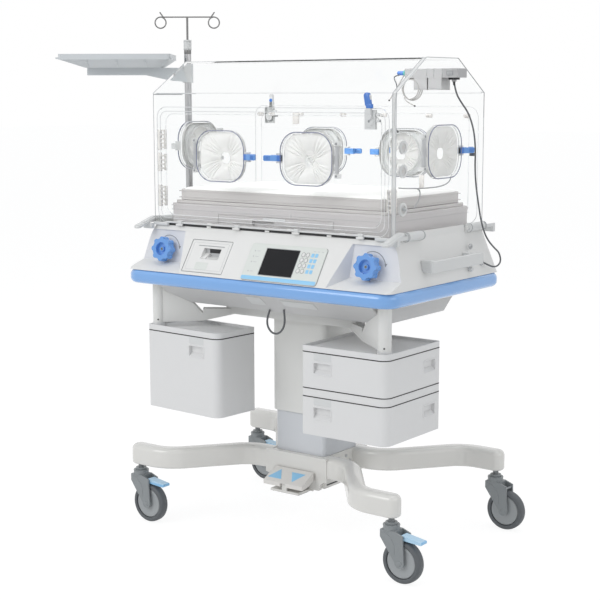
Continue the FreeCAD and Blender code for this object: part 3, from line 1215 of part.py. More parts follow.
def instrument_shelf():
    """Dished shelf on an arm that clamps round the pole, drawn along +X and turned into place."""
    rim = block(SHELF_S0, SHELF_S1, -SHELF_HY, SHELF_HY, SHELF_RIM_Z0, SHELF_RIM_Z1)
    rim = round_edges(rim, HOOK_TAB_L, lambda e: along_axis(e, V(0, 0, 1)))
    top = Part.makePolygon([V(x, y, SHELF_RIM_Z0) for x, y in (
        (SHELF_S0 + SHELF_RIM_T, -SHELF_HY + SHELF_RIM_T), (SHELF_S1 - SHELF_RIM_T, -SHELF_HY + SHELF_RIM_T),
        (SHELF_S1 - SHELF_RIM_T, SHELF_HY - SHELF_RIM_T), (SHELF_S0 + SHELF_RIM_T, SHELF_HY - SHELF_RIM_T),
        (SHELF_S0 + SHELF_RIM_T, -SHELF_HY + SHELF_RIM_T))])
    low = Part.makePolygon([V(x, y, SHELF_LOW_Z) for x, y in (
        (SHELF_LOW_S0, -SHELF_LOW_HY), (SHELF_LOW_S1, -SHELF_LOW_HY), (SHELF_LOW_S1, SHELF_LOW_HY),
        (SHELF_LOW_S0, SHELF_LOW_HY), (SHELF_LOW_S0, -SHELF_LOW_HY))])
    belly = Part.makeLoft([top, low], True, True)
    dish = block(SHELF_S0 + SHELF_RIM_T, SHELF_S1 - SHELF_RIM_T, -SHELF_HY + SHELF_RIM_T, SHELF_HY - SHELF_RIM_T,
                 SHELF_RIM_Z1 - SHELF_DISH, SHELF_RIM_Z1 + 1)
    ribs = [prism_yz([(-SHELF_HY + SHELF_RIM_T, SHELF_RIM_Z0), (-SHELF_HY + 2 * SHELF_RIM_T, SHELF_RIM_Z0 - RIB_DROP),
                      (-SHELF_LOW_HY - SHELF_RIM_T, SHELF_LOW_Z), (-SHELF_LOW_HY, SHELF_LOW_Z),
                      (-SHELF_LOW_HY, SHELF_RIM_Z0)], s - RIB_T / 2, s + RIB_T / 2) for s in RIB_S]
    arm = prism_xz([
        (0, SHELF_CLAMP_Z0 + 2), (SHELF_S0, SHELF_CLAMP_Z0 + 6), (ARM_KNEE, ARM_LOW_Z), (SHELF_LOW_S1, ARM_LOW_Z),
        (SHELF_LOW_S1, SHELF_LOW_Z), (SHELF_CLAMP_H, SHELF_LOW_Z)], -ARM_HY, ARM_HY)
    clamp = soft_block(-SHELF_CLAMP_H, SHELF_CLAMP_H, -SHELF_CLAMP_H, SHELF_CLAMP_H, SHELF_CLAMP_Z0, SHELF_CLAMP_Z1,
                       SHELF_CLAMP_H / 3)
    tabs = []
    for s0, s1 in ((SHELF_S0 - HOOK_TAB_L, SHELF_S0 + SHELF_RIM_T), (SHELF_S1 - SHELF_RIM_T, SHELF_S1 + HOOK_TAB_L)):
        tabs.append(block(s0, s1, -SHELF_HY + HOOK_TAB_L, -SHELF_HY + HOOK_TAB_L + 2 * HOOK_TAB_HY,
                          SHELF_RIM_Z0 + HOOK_TAB_UP, SHELF_RIM_Z0 + HOOK_TAB_UP + HOOK_TAB_T))
    shape = fuse(rim, belly, arm, clamp, *ribs, *tabs).cut(dish)
    shape = shape.cut(rod((0, 0, SHELF_CLAMP_Z0 - 1), (0, 0, SHELF_CLAMP_Z1 + 1), POLE_R + SHAFT_GAP))
    shape = shape.mirror(V(0, 0, 0), V(0, 1, 0))
    shape = turned(shape, (0, 0, 0), 180 + VIEW_TURN)
    shape.translate(V(POLE_X, POLE_Y, 0))
    return shape


def sensor_module():
    """Sensor housing that passes through the hood's right end, two pods below it and a cable plug."""
    body = block(SENSOR_X0, SENSOR_X1, SENSOR_Y0, SENSOR_Y1, SENSOR_Z0, SENSOR_Z1)
    pods = [block(x, x + SENSOR_POD_L, SENSOR_Y0 + REST_GAP, SENSOR_Y1 - REST_GAP, SENSOR_POD_Z0, SENSOR_Z0)
            for x in SENSOR_POD_X]
    plug = rod((PLUG_X, PLUG_Y, PLUG_Z0), (PLUG_X, PLUG_Y, SENSOR_Z0), PLUG_R)
    return fuse(body, plug, *pods)


def cord(points, radius, label):
    """Tube along straight runs joined by tangent arcs, each as large as its two runs allow."""
    pts = [V(*p) for p in points]
    edges = []
    radii = []
    start = pts[0]
    for i in range(1, len(pts) - 1):
        back = pts[i - 1] - pts[i]
        ahead = pts[i + 1] - pts[i]
        reach = 0.45 * min(back.Length, ahead.Length)
        b = V(back).normalize()
        a = V(ahead).normalize()
        turn = math.pi - b.getAngle(a)
        bend = reach / math.tan(turn / 2)
        radii.append(bend)
        t0 = pts[i] + b * reach
        t1 = pts[i] + a * reach
        inward = (a + b).normalize()
        middle = pts[i] + inward * (bend / math.cos(turn / 2) - bend)
        edges.append(Part.LineSegment(start, t0).toShape())
        edges.append(Part.Arc(t0, middle, t1).toShape())
        start = t1
    edges.append(Part.LineSegment(start, pts[-1]).toShape())
    path = Part.Wire(edges)
    first = pts[1] - pts[0]
    section = Part.Wire([Part.makeCircle(radius, pts[0], first)])
    tube = path.makePipeShell([section], True, False)
    expected = math.pi * radius * radius * path.Length
    print(label, "length %.1f" % path.Length, "volume ratio %.4f" % (tube.Volume / expected),
          "radii", " ".join("%.0f" % r for r in radii))
    return tube


def build():
    """All nodes by name."""
    nodes = {"base_block": base_block(), "front_legs": base_casting(-1), "rear_legs": base_casting(1)}
    corners = {"front_left": (-1, -1), "front_right": (1, -1), "rear_left": (-1, 1), "rear_right": (1, 1)}
    for name, (sx, sy) in corners.items():
        fork, wheel = caster(sx, sy)
        nodes["caster_fork_" + name] = fork
        nodes["wheel_" + name] = wheel
        nodes["corner_catch_" + name] = corner_catch(sx, sy)
    for name in ("front_left", "front_right", "rear_left"):
        nodes["brake_pedal_" + name] = brake_pedal(*corners[name])
    nodes["foot_rocker"] = foot_rocker()
    nodes["column_inner"], nodes["column_outer"] = column()
    pan = lower_pan()
    body = deck_body()
    nodes["lower_pan"] = pan
    nodes["support_frame"] = support_frame(pan)
    nodes["left_bin"], nodes["right_bin_upper"], nodes["right_bin_lower"], lids = bins()
    nodes["bin_lids"] = Part.Compound(lids)
    nodes["bumper"] = bumper()
    nodes["deck_housing"] = deck_housing(body)
    nodes["control_panel"], nodes["display"] = control_panel()
    nodes["reservoir_drawer"] = reservoir_drawer(body)
    nodes["tilt_knob_left"] = tilt_knob(-1)
    nodes["tilt_knob_right"] = tilt_knob(1)
    handle = side_handle(body)
    nodes["side_handles"] = Part.Compound([handle, mirror_x(handle)])
    nodes["canopy"] = canopy()
    nodes["front_door"] = front_door()
    door_face = HOOD_Y0 - DOOR_GAP - HOOD_T
    nodes["door_latch_front"] = door_latch(1, door_face, -1)
    nodes["door_latch_rear"] = door_latch(-1, HOOD_Y1, 1)
    for wall in ("front_left", "front_right", "rear_left", "rear_right", "end_left", "end_right"):
        nodes["port_door_" + wall] = port_door(wall)
    nodes["front_cuffs"] = Part.Compound([port_cuff(w) for w in ("front_left", "front_right")])
    nodes["hood_cuffs"] = Part.Compound([port_cuff(w) for w in ("rear_left", "rear_right", "end_left", "end_right")])
    nodes["bed_base"] = bed_base()
    nodes["tilt_cradle"], nodes["mattress_tray"], nodes["mattress"] = bed()
    nodes["infusion_pole"] = infusion_pole()
    nodes["infusion_hook"] = infusion_hook()
    nodes["instrument_shelf"] = instrument_shelf()
    nodes["sensor_module"] = sensor_module()
    nodes["sensor_cable_upper"] = cord(UPPER_ROUTE, SENSOR_CABLE_R, "sensor cable, upper")
    nodes["sensor_cable_lower"] = cord(LOWER_ROUTE, SENSOR_CABLE_R, "sensor cable, lower")
    nodes["loop_cable"] = cord(LOOP_ROUTE, LOOP_CABLE_R, "loop cable")
    return nodes


def main():
    """Build every node and write it."""
    os.makedirs("parts", exist_ok=True)
    for name, shape in build().items():
        solids = shape.Solids
        if not shape.isValid() or not solids:
            print("bad shape", name)
        print(name, len(solids), "solids", "volume %.0f" % shape.Volume)
        shape.exportStep("parts/" + name + ".step")


main()
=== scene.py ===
"""Visual model of an infant incubator on a lifting trolley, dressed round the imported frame."""

import json
import logging
import math
from dataclasses import dataclass
from enum import Enum
from typing import Callable, Iterable, Sequence

import bmesh
import bpy
import numpy as np
from mathutils import Matrix, Vector

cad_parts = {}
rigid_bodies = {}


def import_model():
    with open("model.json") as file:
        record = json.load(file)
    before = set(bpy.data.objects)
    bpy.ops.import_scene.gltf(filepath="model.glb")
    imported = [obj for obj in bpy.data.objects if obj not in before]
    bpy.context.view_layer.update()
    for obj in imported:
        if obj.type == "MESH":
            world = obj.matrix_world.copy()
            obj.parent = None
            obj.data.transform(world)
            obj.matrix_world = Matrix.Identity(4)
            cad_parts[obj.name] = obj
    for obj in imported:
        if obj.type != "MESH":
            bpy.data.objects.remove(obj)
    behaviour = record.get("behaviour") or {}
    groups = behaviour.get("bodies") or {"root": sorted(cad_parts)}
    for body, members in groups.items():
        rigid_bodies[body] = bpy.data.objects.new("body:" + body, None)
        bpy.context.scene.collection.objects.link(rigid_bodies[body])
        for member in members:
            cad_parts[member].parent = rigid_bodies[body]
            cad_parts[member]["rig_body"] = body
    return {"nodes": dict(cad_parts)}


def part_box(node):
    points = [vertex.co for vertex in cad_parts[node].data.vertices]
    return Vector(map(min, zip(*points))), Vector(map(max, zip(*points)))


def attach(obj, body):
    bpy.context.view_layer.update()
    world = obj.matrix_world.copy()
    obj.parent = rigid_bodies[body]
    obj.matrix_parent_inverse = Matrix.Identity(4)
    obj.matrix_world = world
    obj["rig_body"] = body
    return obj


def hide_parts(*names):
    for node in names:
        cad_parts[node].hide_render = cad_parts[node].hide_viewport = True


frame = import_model()

LOG = logging.getLogger("incubator")
MM = 0.001
HOOD = "canopy_body"
Points = np.ndarray


class Kind(Enum):
    """How a finish is built."""

    MOULDED = "moulded"
    PAINT = "paint"
    METAL = "metal"
    CLEAR = "clear"
    FABRIC = "fabric"
    RUBBER = "rubber"


@dataclass(frozen=True)
class Finish:
    """One surface finish: its colour, its gloss and the scale of its grain."""

    name: str
    slot: str
    kind: Kind
    colour: tuple[float, float, float]
    roughness: float
    grain: float = 900.0
    shade: float = 0.03
    bump: float = 0.02
    coat: float = 0.0
    alpha: float = 1.0
    specular: float = 0.5


class Finishes:
    """Every finish of the incubator."""

    SHELL = Finish("shell_ivory", "shell_white", Kind.MOULDED, (0.80, 0.80, 0.79), 0.42, 1400, 0.025, 0.03)
    BIN = Finish("bin_grey_white", "bin_white", Kind.MOULDED, (0.78, 0.78, 0.78), 0.45, 1500, 0.025, 0.03)
    LEG = Finish("leg_enamel", "leg_paint", Kind.PAINT, (0.76, 0.75, 0.72), 0.22, 700, 0.02, 0.015, 0.35)
    COLUMN = Finish("column_enamel", "column_paint", Kind.PAINT, (0.77, 0.77, 0.75), 0.40, 900, 0.02, 0.02, 0.1)
    INNER = Finish("inner_column_grey", "column_paint", Kind.PAINT, (0.66, 0.68, 0.71), 0.38, 900, 0.02, 0.02, 0.1)
    BLUE = Finish("bumper_blue", "blue_gloss", Kind.MOULDED, (0.20, 0.43, 0.83), 0.16, 900, 0.03, 0.005, 0.7)
    KNOB = Finish("knob_blue", "blue_gloss", Kind.MOULDED, (0.14, 0.35, 0.78), 0.22, 600, 0.03, 0.015, 0.4)
    LATCH = Finish("latch_blue", "latch_blue", Kind.MOULDED, (0.06, 0.20, 0.62), 0.25, 600, 0.03, 0.01, 0.3)
    PEDAL = Finish("pedal_sky_blue", "pedal_blue", Kind.MOULDED, (0.27, 0.56, 0.86), 0.28, 600, 0.03, 0.015, 0.2)
    PEDAL_PALE = Finish("pedal_pale_blue", "pedal_blue", Kind.MOULDED, (0.46, 0.70, 0.90), 0.3, 600, 0.03, 0.015, 0.2)
    # Painted shade: the lower pan is greyer than the shell, for the shadow that the deck casts on it.
    PAN = Finish("pan_grey_painted_shade", "shell_white", Kind.MOULDED, (0.62, 0.62, 0.62), 0.42, 1400, 0.03, 0.03)
    FOOT = Finish("foot_ivory", "foot_beige", Kind.MOULDED, (0.78, 0.76, 0.73), 0.36, 900, 0.02, 0.02)
    HANDLE = Finish("handle_pale_grey", "handle_grey", Kind.MOULDED, (0.70, 0.71, 0.71), 0.38, 900, 0.02, 0.02)
    PANEL = Finish("panel_pale_green_grey", "panel_grey", Kind.MOULDED, (0.72, 0.75, 0.72), 0.35, 1200, 0.01, 0.01)
    SCREEN = Finish("display_black", "display_black", Kind.MOULDED, (0.006, 0.007, 0.010), 0.08, 400, 0.1, 0.0,
                    specular=0.2)
    CASTER = Finish("caster_grey", "caster_grey", Kind.MOULDED, (0.27, 0.29, 0.30), 0.38, 700, 0.03, 0.02)
    HUB = Finish("hub_grey", "caster_grey", Kind.MOULDED, (0.38, 0.40, 0.41), 0.40, 700, 0.03, 0.02)
    TYRE = Finish("tyre_grey", "tyre_rubber", Kind.RUBBER, (0.115, 0.125, 0.135), 0.55, 500, 0.06, 0.04)
    CLEAR = Finish("acrylic", "clear_acrylic", Kind.CLEAR, (0.985, 0.99, 0.99), 0.02)
    # Acrylic lines on the clear sheets' slot, painted along edges and bends for the light that the acrylic reflects and
    # refracts there: EDGE a grey line, HAIR a painted highlight, BAND a half-clear painted glint.
    EDGE = Finish("acrylic_painted_edge_line", "clear_acrylic", Kind.MOULDED, (0.50, 0.52, 0.53), 0.25, 700, 0.05, 0.0, 0.2)
    HAIR = Finish("acrylic_painted_highlight_line", "clear_acrylic", Kind.MOULDED, (0.74, 0.75, 0.76), 0.3, 700, 0.05, 0.0, 0.1)
    BAND = Finish("acrylic_painted_glint_band", "clear_acrylic", Kind.MOULDED, (0.80, 0.81, 0.81), 0.2, 700, 0.04, 0, 0.3, 0.55)
    RIM = Finish("port_rim", "clear_acrylic", Kind.MOULDED, (0.20, 0.22, 0.34), 0.12, 700, 0.08, 0.0, 0.5, 0.8)
    FROST = Finish("frosted_fitting", "clear_acrylic", Kind.MOULDED, (0.84, 0.85, 0.85), 0.3, 900, 0.03, 0.01, 0.2, 0.8)
    BLOCK = Finish("clear_block", "clear_acrylic", Kind.MOULDED, (0.72, 0.70, 0.68), 0.30, 900, 0.03, 0.01, 0.2, 0.85)
    FITTING = Finish("grey_fitting", "handle_grey", Kind.MOULDED, (0.55, 0.56, 0.57), 0.36, 900, 0.03, 0.01)
    CUFF = Finish("cuff_cloth", "cuff_white", Kind.FABRIC, (0.66, 0.66, 0.65), 0.85, 2600, 0.04, 0.25)
    TRAY = Finish("tray_smoke", "tray_clear", Kind.MOULDED, (0.455, 0.44, 0.435), 0.18, 700, 0.03, 0.01, 0.4)
    BED = Finish("bed_box", "shell_white", Kind.MOULDED, (0.46, 0.445, 0.45), 0.30, 900, 0.02, 0.01, 0.2)
    SHEET = Finish("mattress_cover", "mattress_white", Kind.FABRIC, (0.75, 0.75, 0.74), 0.80, 2200, 0.03, 0.25)
    POLE = Finish("pole_steel", "pole_metal", Kind.METAL, (0.46, 0.46, 0.47), 0.24, 300, 0.10, 0.01)
    DARK_STEEL = Finish("dark_steel", "pole_metal", Kind.METAL, (0.20, 0.20, 0.20), 0.28, 300, 0.10, 0.01)
    SHELF = Finish("shelf_grey", "shell_white", Kind.MOULDED, (0.62, 0.65, 0.67), 0.36, 1000, 0.02, 0.02)
    MODULE = Finish("module_grey", "module_grey", Kind.MOULDED, (0.45, 0.45, 0.455), 0.35, 900, 0.03, 0.02)
    CABLE = Finish("cable_grey", "cable_grey", Kind.RUBBER, (0.105, 0.11, 0.12), 0.42, 900, 0.05, 0.01)
    BLACK = Finish("gasket_black", "display_black", Kind.RUBBER, (0.012, 0.013, 0.015), 0.5, 900, 0.05, 0.02)
    LEAD = Finish("probe_lead", "cable_grey", Kind.RUBBER, (0.44, 0.43, 0.42), 0.35, 900, 0.03, 0.0)
    MARK = Finish("mark_sky_blue", "pedal_blue", Kind.MOULDED, (0.30, 0.62, 0.90), 0.35, 700, 0.02, 0.01)
    LINE = Finish("seam_grey", "panel_grey", Kind.MOULDED, (0.30, 0.31, 0.32), 0.5, 700, 0.02, 0.0)
    # Painted shade: dark line along some of the clear sheet's edges and bends.
    LINE_CLEAR = Finish("acrylic_painted_shade_line", "clear_acrylic", Kind.MOULDED, (0.34, 0.35, 0.36), 0.3, 700, 0.05, 0.0, 0.2)
    TEAL = Finish("connector_teal", "latch_blue", Kind.MOULDED, (0.10, 0.50, 0.46), 0.35, 700, 0.04, 0.01)
    # Painted shade: a darker blue-grey copy of the shell for the knobs' recesses, for the shade that falls in them.
    RECESS_SHADE = Finish("recess_painted_blue_grey_shade", "shell_white", Kind.MOULDED, (0.78, 0.79, 0.82), 0.42, 1400, 0.04, 0.03)


Tree = bpy.types.NodeTree
Socket = bpy.types.NodeSocket
FLOAT, COLOUR = "NodeSocketFloat", "NodeSocketColor"
SHADE_COLOUR = (0.10, 0.09, 0.08, 1.0)
BUMP_DISTANCE = 0.0006
COAT_ROUGHNESS = 0.06
CLOTH_SHEEN = 0.25
SHEET_IOR = 1.08


def maths(tree: Tree, operation: str, *values: Socket | float, clamp: bool = False) -> Socket:
    """Add a math node on two sockets or numbers, and give its result."""
    node = tree.nodes.new("ShaderNodeMath")
    node.operation = operation
    node.use_clamp = clamp
    for socket, value in zip(node.inputs, values):
        if isinstance(value, float):
            socket.default_value = value
        else:
            tree.links.new(value, socket)
    return node.outputs[0]


def mixed(tree: Tree, factor: Socket, first: Socket, second: Socket) -> Socket:
    """Add a shader mix, and give its result."""
    mix = tree.nodes.new("ShaderNodeMixShader")
    for socket, value in zip(mix.inputs, (factor, first, second)):
        tree.links.new(value, socket)
    return mix.outputs[0]


def set_inputs(node: bpy.types.Node, **values: object) -> None:
    """Set a node's inputs; an underscore in a keyword stands for a space in the input's name."""
    for label, value in values.items():
        node.inputs[label.replace("_", " ")].default_value = value


class MaterialShop:
    """Builds each finish once, out of shared effect groups."""

    def __init__(self) -> None:
        """Make the shared groups and an empty shelf of materials."""
        self.made: dict[str, bpy.types.Material] = {}
        self.grain = self._group("Surface Grain", (0.03, 900.0, 0.4), (0.88, 1.16), self._moulded)
        self.brushed = self._group("Drawn Metal", (0.1, 300.0, 0.25), (1.0, 1.5), self._drawn)
        self.weave = self._group("Plain Weave", (0.04, 2600.0, 0.85), (1.0, 1.1), self._woven)

    @staticmethod
    def _noise(tree: Tree, place: Socket, scale: Socket | float, detail: float) -> Socket:
        """Add a noise texture read at a vector, with a scale from a socket or a number."""
        node = tree.nodes.new("ShaderNodeTexNoise")
        node.inputs["Detail"].default_value = detail
        tree.links.new(place, node.inputs["Vector"])
        if isinstance(scale, float):
            node.inputs["Scale"].default_value = scale
        else:
            tree.links.new(scale, node.inputs["Scale"])
        return node.outputs["Fac"]

    def _moulded(self, tree: Tree, place: Socket, grain: Socket) -> tuple[Socket, Socket]:
        """Moulded or sprayed surface: soft blotches for the mask and fine speckle for the height."""
        return self._noise(tree, place, 9.0, 3.0), self._noise(tree, place, grain, 2.0)

    def _drawn(self, tree: Tree, place: Socket, grain: Socket) -> tuple[Socket, Socket]:
        """Drawn or brushed metal: noise stretched along the height, so it reads as fine vertical lines."""
        stretch = tree.nodes.new("ShaderNodeMapping")
        stretch.inputs["Scale"].default_value = (1.0, 1.0, 0.03)
        tree.links.new(place, stretch.inputs["Vector"])
        lines = self._noise(tree, stretch.outputs["Vector"], grain, 4.0)
        return lines, lines

    def _woven(self, tree: Tree, place: Socket, grain: Socket) -> tuple[Socket, Socket]:
        """Plain weave: a soft blotch for the mask, and the product of two crossed sine bands for the height."""
        bands = []
        for direction in ("X", "Z"):
            wave = tree.nodes.new("ShaderNodeTexWave")
            wave.bands_direction = direction
            tree.links.new(place, wave.inputs["Vector"])
            tree.links.new(grain, wave.inputs["Scale"])
            bands.append(wave.outputs["Fac"])
        return self._noise(tree, place, 22.0, 3.0), maths(tree, "MULTIPLY", *bands)

    @staticmethod
    def _group(
        name: str, defaults: Sequence[float], film: Sequence[float],
        pattern: Callable[[Tree, Socket, Socket], tuple[Socket, Socket]],
    ) -> Tree:
        """Make an effect group: a pattern that shades a colour, spreads a roughness and gives a height.

        The colour goes towards a dark one by shade times mask, and the roughness runs with the mask between two
        multiples of its value.

        Args:
            name: the group's name.
            defaults: default values of the shade, the grain and the roughness.
            film: the roughness's lowest and highest multiple.
            pattern: adds the pattern, and gives its mask and its height.

        Returns:
            The group's tree.
        """
        tree = bpy.data.node_groups.new(name, "ShaderNodeTree")
        labels, kinds = ("Colour", "Shade", "Grain", "Roughness"), (COLOUR, FLOAT, FLOAT, FLOAT)
        for label, kind, value in zip(labels, kinds, ((1, 1, 1, 1), *defaults)):
            tree.interface.new_socket(name=label, in_out="INPUT", socket_type=kind).default_value = value
        for label, kind in (("Colour", COLOUR), ("Roughness", FLOAT), ("Height", FLOAT)):
            tree.interface.new_socket(name=label, in_out="OUTPUT", socket_type=kind)
        start, end = tree.nodes.new("NodeGroupInput"), tree.nodes.new("NodeGroupOutput")
        place = tree.nodes.new("ShaderNodeTexCoord").outputs["Object"]
        mask, height = pattern(tree, place, start.outputs["Grain"])
        mix = tree.nodes.new("ShaderNodeMix")
        mix.data_type = "RGBA"
        mix.blend_type = "MIX"
        tree.links.new(maths(tree, "MULTIPLY", mask, start.outputs["Shade"]), mix.inputs["Factor"])
        tree.links.new(start.outputs["Colour"], mix.inputs["A"])
        mix.inputs["B"].default_value = SHADE_COLOUR
        spread = tree.nodes.new("ShaderNodeMapRange")
        tree.links.new(mask, spread.inputs["Value"])
        for label, share in zip(("To Min", "To Max"), film):
            tree.links.new(maths(tree, "MULTIPLY", start.outputs["Roughness"], share), spread.inputs[label])
        for label, value in (("Colour", mix.outputs["Result"]), ("Roughness", spread.outputs["Result"]),
                             ("Height", height)):
            tree.links.new(value, end.inputs[label])
        return tree

    def get(self, finish: Finish) -> bpy.types.Material:
        """Give the material of a finish, built on first use.

        Args:
            finish: the finish.

        Returns:
            Its material.
        """
        if finish.name not in self.made:
            self.made[finish.name] = self._clear(finish) if finish.kind is Kind.CLEAR else self._solid(finish)
        return self.made[finish.name]

    @staticmethod
    def _new(name: str) -> tuple[bpy.types.Material, Tree, bpy.types.Node]:
        """Make a material, and give it with its tree and its Principled shader."""
        material = bpy.data.materials.new(name)
        material.use_nodes = True
        return material, material.node_tree, material.node_tree.nodes["Principled BSDF"]

    def _solid(self, finish: Finish) -> bpy.types.Material:
        """Opaque or tinted finish: effect group into one Principled shader."""
        material, tree, shader = self._new(finish.name)
        effect = tree.nodes.new("ShaderNodeGroup")
        effect.node_tree = {Kind.METAL: self.brushed, Kind.FABRIC: self.weave}.get(finish.kind, self.grain)
        set_inputs(effect, Colour=(*finish.colour, 1.0), Shade=finish.shade, Grain=finish.grain,
                   Roughness=finish.roughness)
        tree.links.new(effect.outputs["Colour"], shader.inputs["Base Color"])
        tree.links.new(effect.outputs["Roughness"], shader.inputs["Roughness"])
        if finish.bump > 0:
            bump = tree.nodes.new("ShaderNodeBump")
            set_inputs(bump, Strength=finish.bump, Distance=BUMP_DISTANCE)
            tree.links.new(effect.outputs["Height"], bump.inputs["Height"])
            tree.links.new(bump.outputs["Normal"], shader.inputs["Normal"])
        set_inputs(shader, Metallic=1.0 if finish.kind is Kind.METAL else 0.0, Coat_Weight=finish.coat,
                   Coat_Roughness=COAT_ROUGHNESS, Alpha=finish.alpha, Specular_IOR_Level=finish.specular,
                   Sheen_Weight=CLOTH_SHEEN if finish.kind is Kind.FABRIC else 0.0)
        return material

    def _clear(self, finish: Finish) -> bpy.types.Material:
        """Clear sheet: glass that lets the lamps' light through to what stands behind it."""
        material, tree, shader = self._new(finish.name)
        set_inputs(shader, Base_Color=(*finish.colour, 1.0), Roughness=finish.roughness, IOR=SHEET_IOR,
                   Metallic=0.0, Transmission_Weight=1.0)
        through = tree.nodes.new("ShaderNodeBsdfTransparent")
        shadow = tree.nodes.new("ShaderNodeLightPath").outputs["Is Shadow Ray"]
        tree.links.new(mixed(tree, shadow, shader.outputs["BSDF"], through.outputs["BSDF"]),
                       tree.nodes["Material Output"].inputs["Surface"])
        return material


SHOP = MaterialShop()


class Surface:
    """Point grids, in millimetres, gathered into one mesh piece."""

    def __init__(self) -> None:
        """Start with nothing."""
        self.points: list[Points] = []
        self.faces: list[Sequence[int]] = []
        self.count = 0

    def grid(self, p: Points, wrap: bool = False, closed: bool = False) -> "Surface":
        """Add a grid of points as quads.

        Args:
            p: points, rows by columns by three.
            wrap: whether the last column joins the first.
            closed: whether the last row joins the first.

        Returns:
            This surface.
        """
        rows, columns = p.shape[:2]
        index = np.arange(rows * columns).reshape(rows, columns) + self.count
        if wrap:
            index = np.concatenate([index, index[:, :1]], 1)
        if closed:
            index = np.concatenate([index, index[:1]], 0)
        quads = np.stack([index[:-1, :-1], index[:-1, 1:], index[1:, 1:], index[1:, :-1]], -1)
        self.faces.extend(quads.reshape(-1, 4).tolist())
        self.points.append(p.reshape(-1, 3))
        self.count += rows * columns
        return self

    def rings(self, p: Points) -> "Surface":
        """Add a stack of closed rings with a flat cap at each end."""
        first = self.count
        columns = p.shape[1]
        self.grid(p, wrap=True)
        self.faces.append(list(range(first + columns - 1, first - 1, -1)))
        self.faces.append(list(range(self.count - columns, self.count)))
        return self

    def tube(self, path: Points, radius: float, n: int = 8) -> "Surface":
        """Add a round tube along a closed path."""
        return self.grid(sweep(path, ring_circle(radius, n), True), True, True)

    def build(self, name: str, finish: Finish, body: str, smooth: float = 35.0) -> bpy.types.Object:
        """Make the piece: merge doubles, turn faces outwards, give it its finish and its body.

        Args:
            name: the piece's name.
            finish: its finish.
            body: the body that it rides on.
            smooth: the largest angle, in degrees, that is shaded smooth.

        Returns:
            The object.
        """
        mesh = bpy.data.meshes.new(name)
        mesh.from_pydata(np.concatenate(self.points) * MM, [], self.faces)
        work = bmesh.new()
        work.from_mesh(mesh)
        bmesh.ops.remove_doubles(work, verts=work.verts, dist=1e-6)
        bmesh.ops.recalc_face_normals(work, faces=work.faces)
        work.to_mesh(mesh)
        work.free()
        return dress(name, mesh, finish, body, smooth)


def dress(name: str, mesh: bpy.types.Mesh, finish: Finish, body: str, smooth: float = 35.0) -> bpy.types.Object:
    """Link a mesh as a piece with its finish, its smooth angle and its body."""
    piece = bpy.data.objects.new(name, mesh)
    bpy.context.scene.collection.objects.link(piece)
    mesh.materials.append(SHOP.get(finish))
    mesh.shade_smooth()
    mesh.set_sharp_from_angle(angle=math.radians(smooth))
    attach(piece, body)
    LOG.info("piece %s on %s", name, body)
    return piece


def solid(
    name: str, finish: Finish, body: str, *stacks: Points, smooth: float = 35.0
) -> bpy.types.Object:
    """Make one piece out of stacks of closed rings."""
    surface = Surface()
    for stack in stacks:
        surface.rings(stack)
    return surface.build(name, finish, body, smooth)


def raised(flat: Points, height: float) -> Points:
    """Flat points lifted to one height."""
    return np.column_stack([flat, np.full(len(flat), height)])


def ring_rect(hx: float, hy: float, r: float | Points, n: int = 8) -> Points:
    """Rounded rectangle: four quarter circles, of one radius or of four, about the corners' centres."""
    r = np.reshape(r, (-1, 1))
    a = np.linspace(0, math.pi / 2, n)
    turn = np.arange(4)[:, None] * math.pi / 2 + a[None, :]
    sx = np.array([1, -1, -1, 1])[:, None]
    sy = np.array([1, 1, -1, -1])[:, None]
    x = sx * (hx - r) + r * np.cos(turn)
    y = sy * (hy - r) + r * np.sin(turn)
    return np.stack([x, y], -1).reshape(-1, 2)


def ring_circle(r: float, n: int = 32) -> Points:
    """Circle: r times cosine and sine of equal steps."""
    a = np.linspace(0, 2 * math.pi, n, endpoint=False)
    return np.stack([r * np.cos(a), r * np.sin(a)], -1)


def slab(outline: Callable[[float], Points], low: float, high: float, soft: float, steps: int = 3) -> Points:
    """Rings of a plate with rounded edges: the outline is drawn in by the quarter circle's sagitta at each level.

    Args:
        outline: gives the outline for an inset.
        low: lower face.
        high: upper face.
        soft: radius of the edge.
        steps: rings in each rounded edge.

    Returns:
        Rings by points by three.
    """
    a = np.linspace(0, math.pi / 2, steps + 1)
    level = np.concatenate([low + soft * (1 - np.cos(a)), high - soft + soft * np.sin(a)])
    inset = np.concatenate([soft * (1 - np.sin(a)), soft * (1 - np.cos(a))])
    return np.stack([raised(outline(i), z) for i, z in zip(inset, level)])


def soft_plate(hx: float, hy: float, r: float, low: float, high: float, soft: float, n: int = 6) -> Points:
    """Rounded-rectangle plate about the origin with rounded edges."""
    return slab(lambda i: ring_rect(hx - i, hy - i, max(r - i, 0.2), n), low, high, soft)


def soft_disc(r: float, low: float, high: float, soft: float, n: int = 40) -> Points:
    """Disc about the origin with rounded edges."""
    return slab(lambda i: ring_circle(r - i, n), low, high, soft)


def lathe(profile: Sequence[tuple[float, float]], n: int = 48) -> Points:
    """Surface of revolution: each profile pair, radius and height, is carried round the z axis."""
    p = np.array(profile, float)
    a = np.linspace(0, 2 * math.pi, n, endpoint=False)
    x = p[:, :1] * np.cos(a)
    y = p[:, :1] * np.sin(a)
    z = np.repeat(p[:, 1:], n, 1)
    return np.stack([x, y, z], -1)


def placed(p: Points, origin: Sequence[float], ex: Sequence[float], ey: Sequence[float]) -> Points:
    """Carry flat-drawn points to a place: origin plus x, y and z along ex, ey and their cross product."""
    ex = np.array(ex, float) / np.linalg.norm(ex)
    ey = np.array(ey, float) - ex * np.dot(ex, ey)
    ey = ey / np.linalg.norm(ey)
    return p @ np.stack([ex, ey, np.cross(ex, ey)]) + np.array(origin, float)


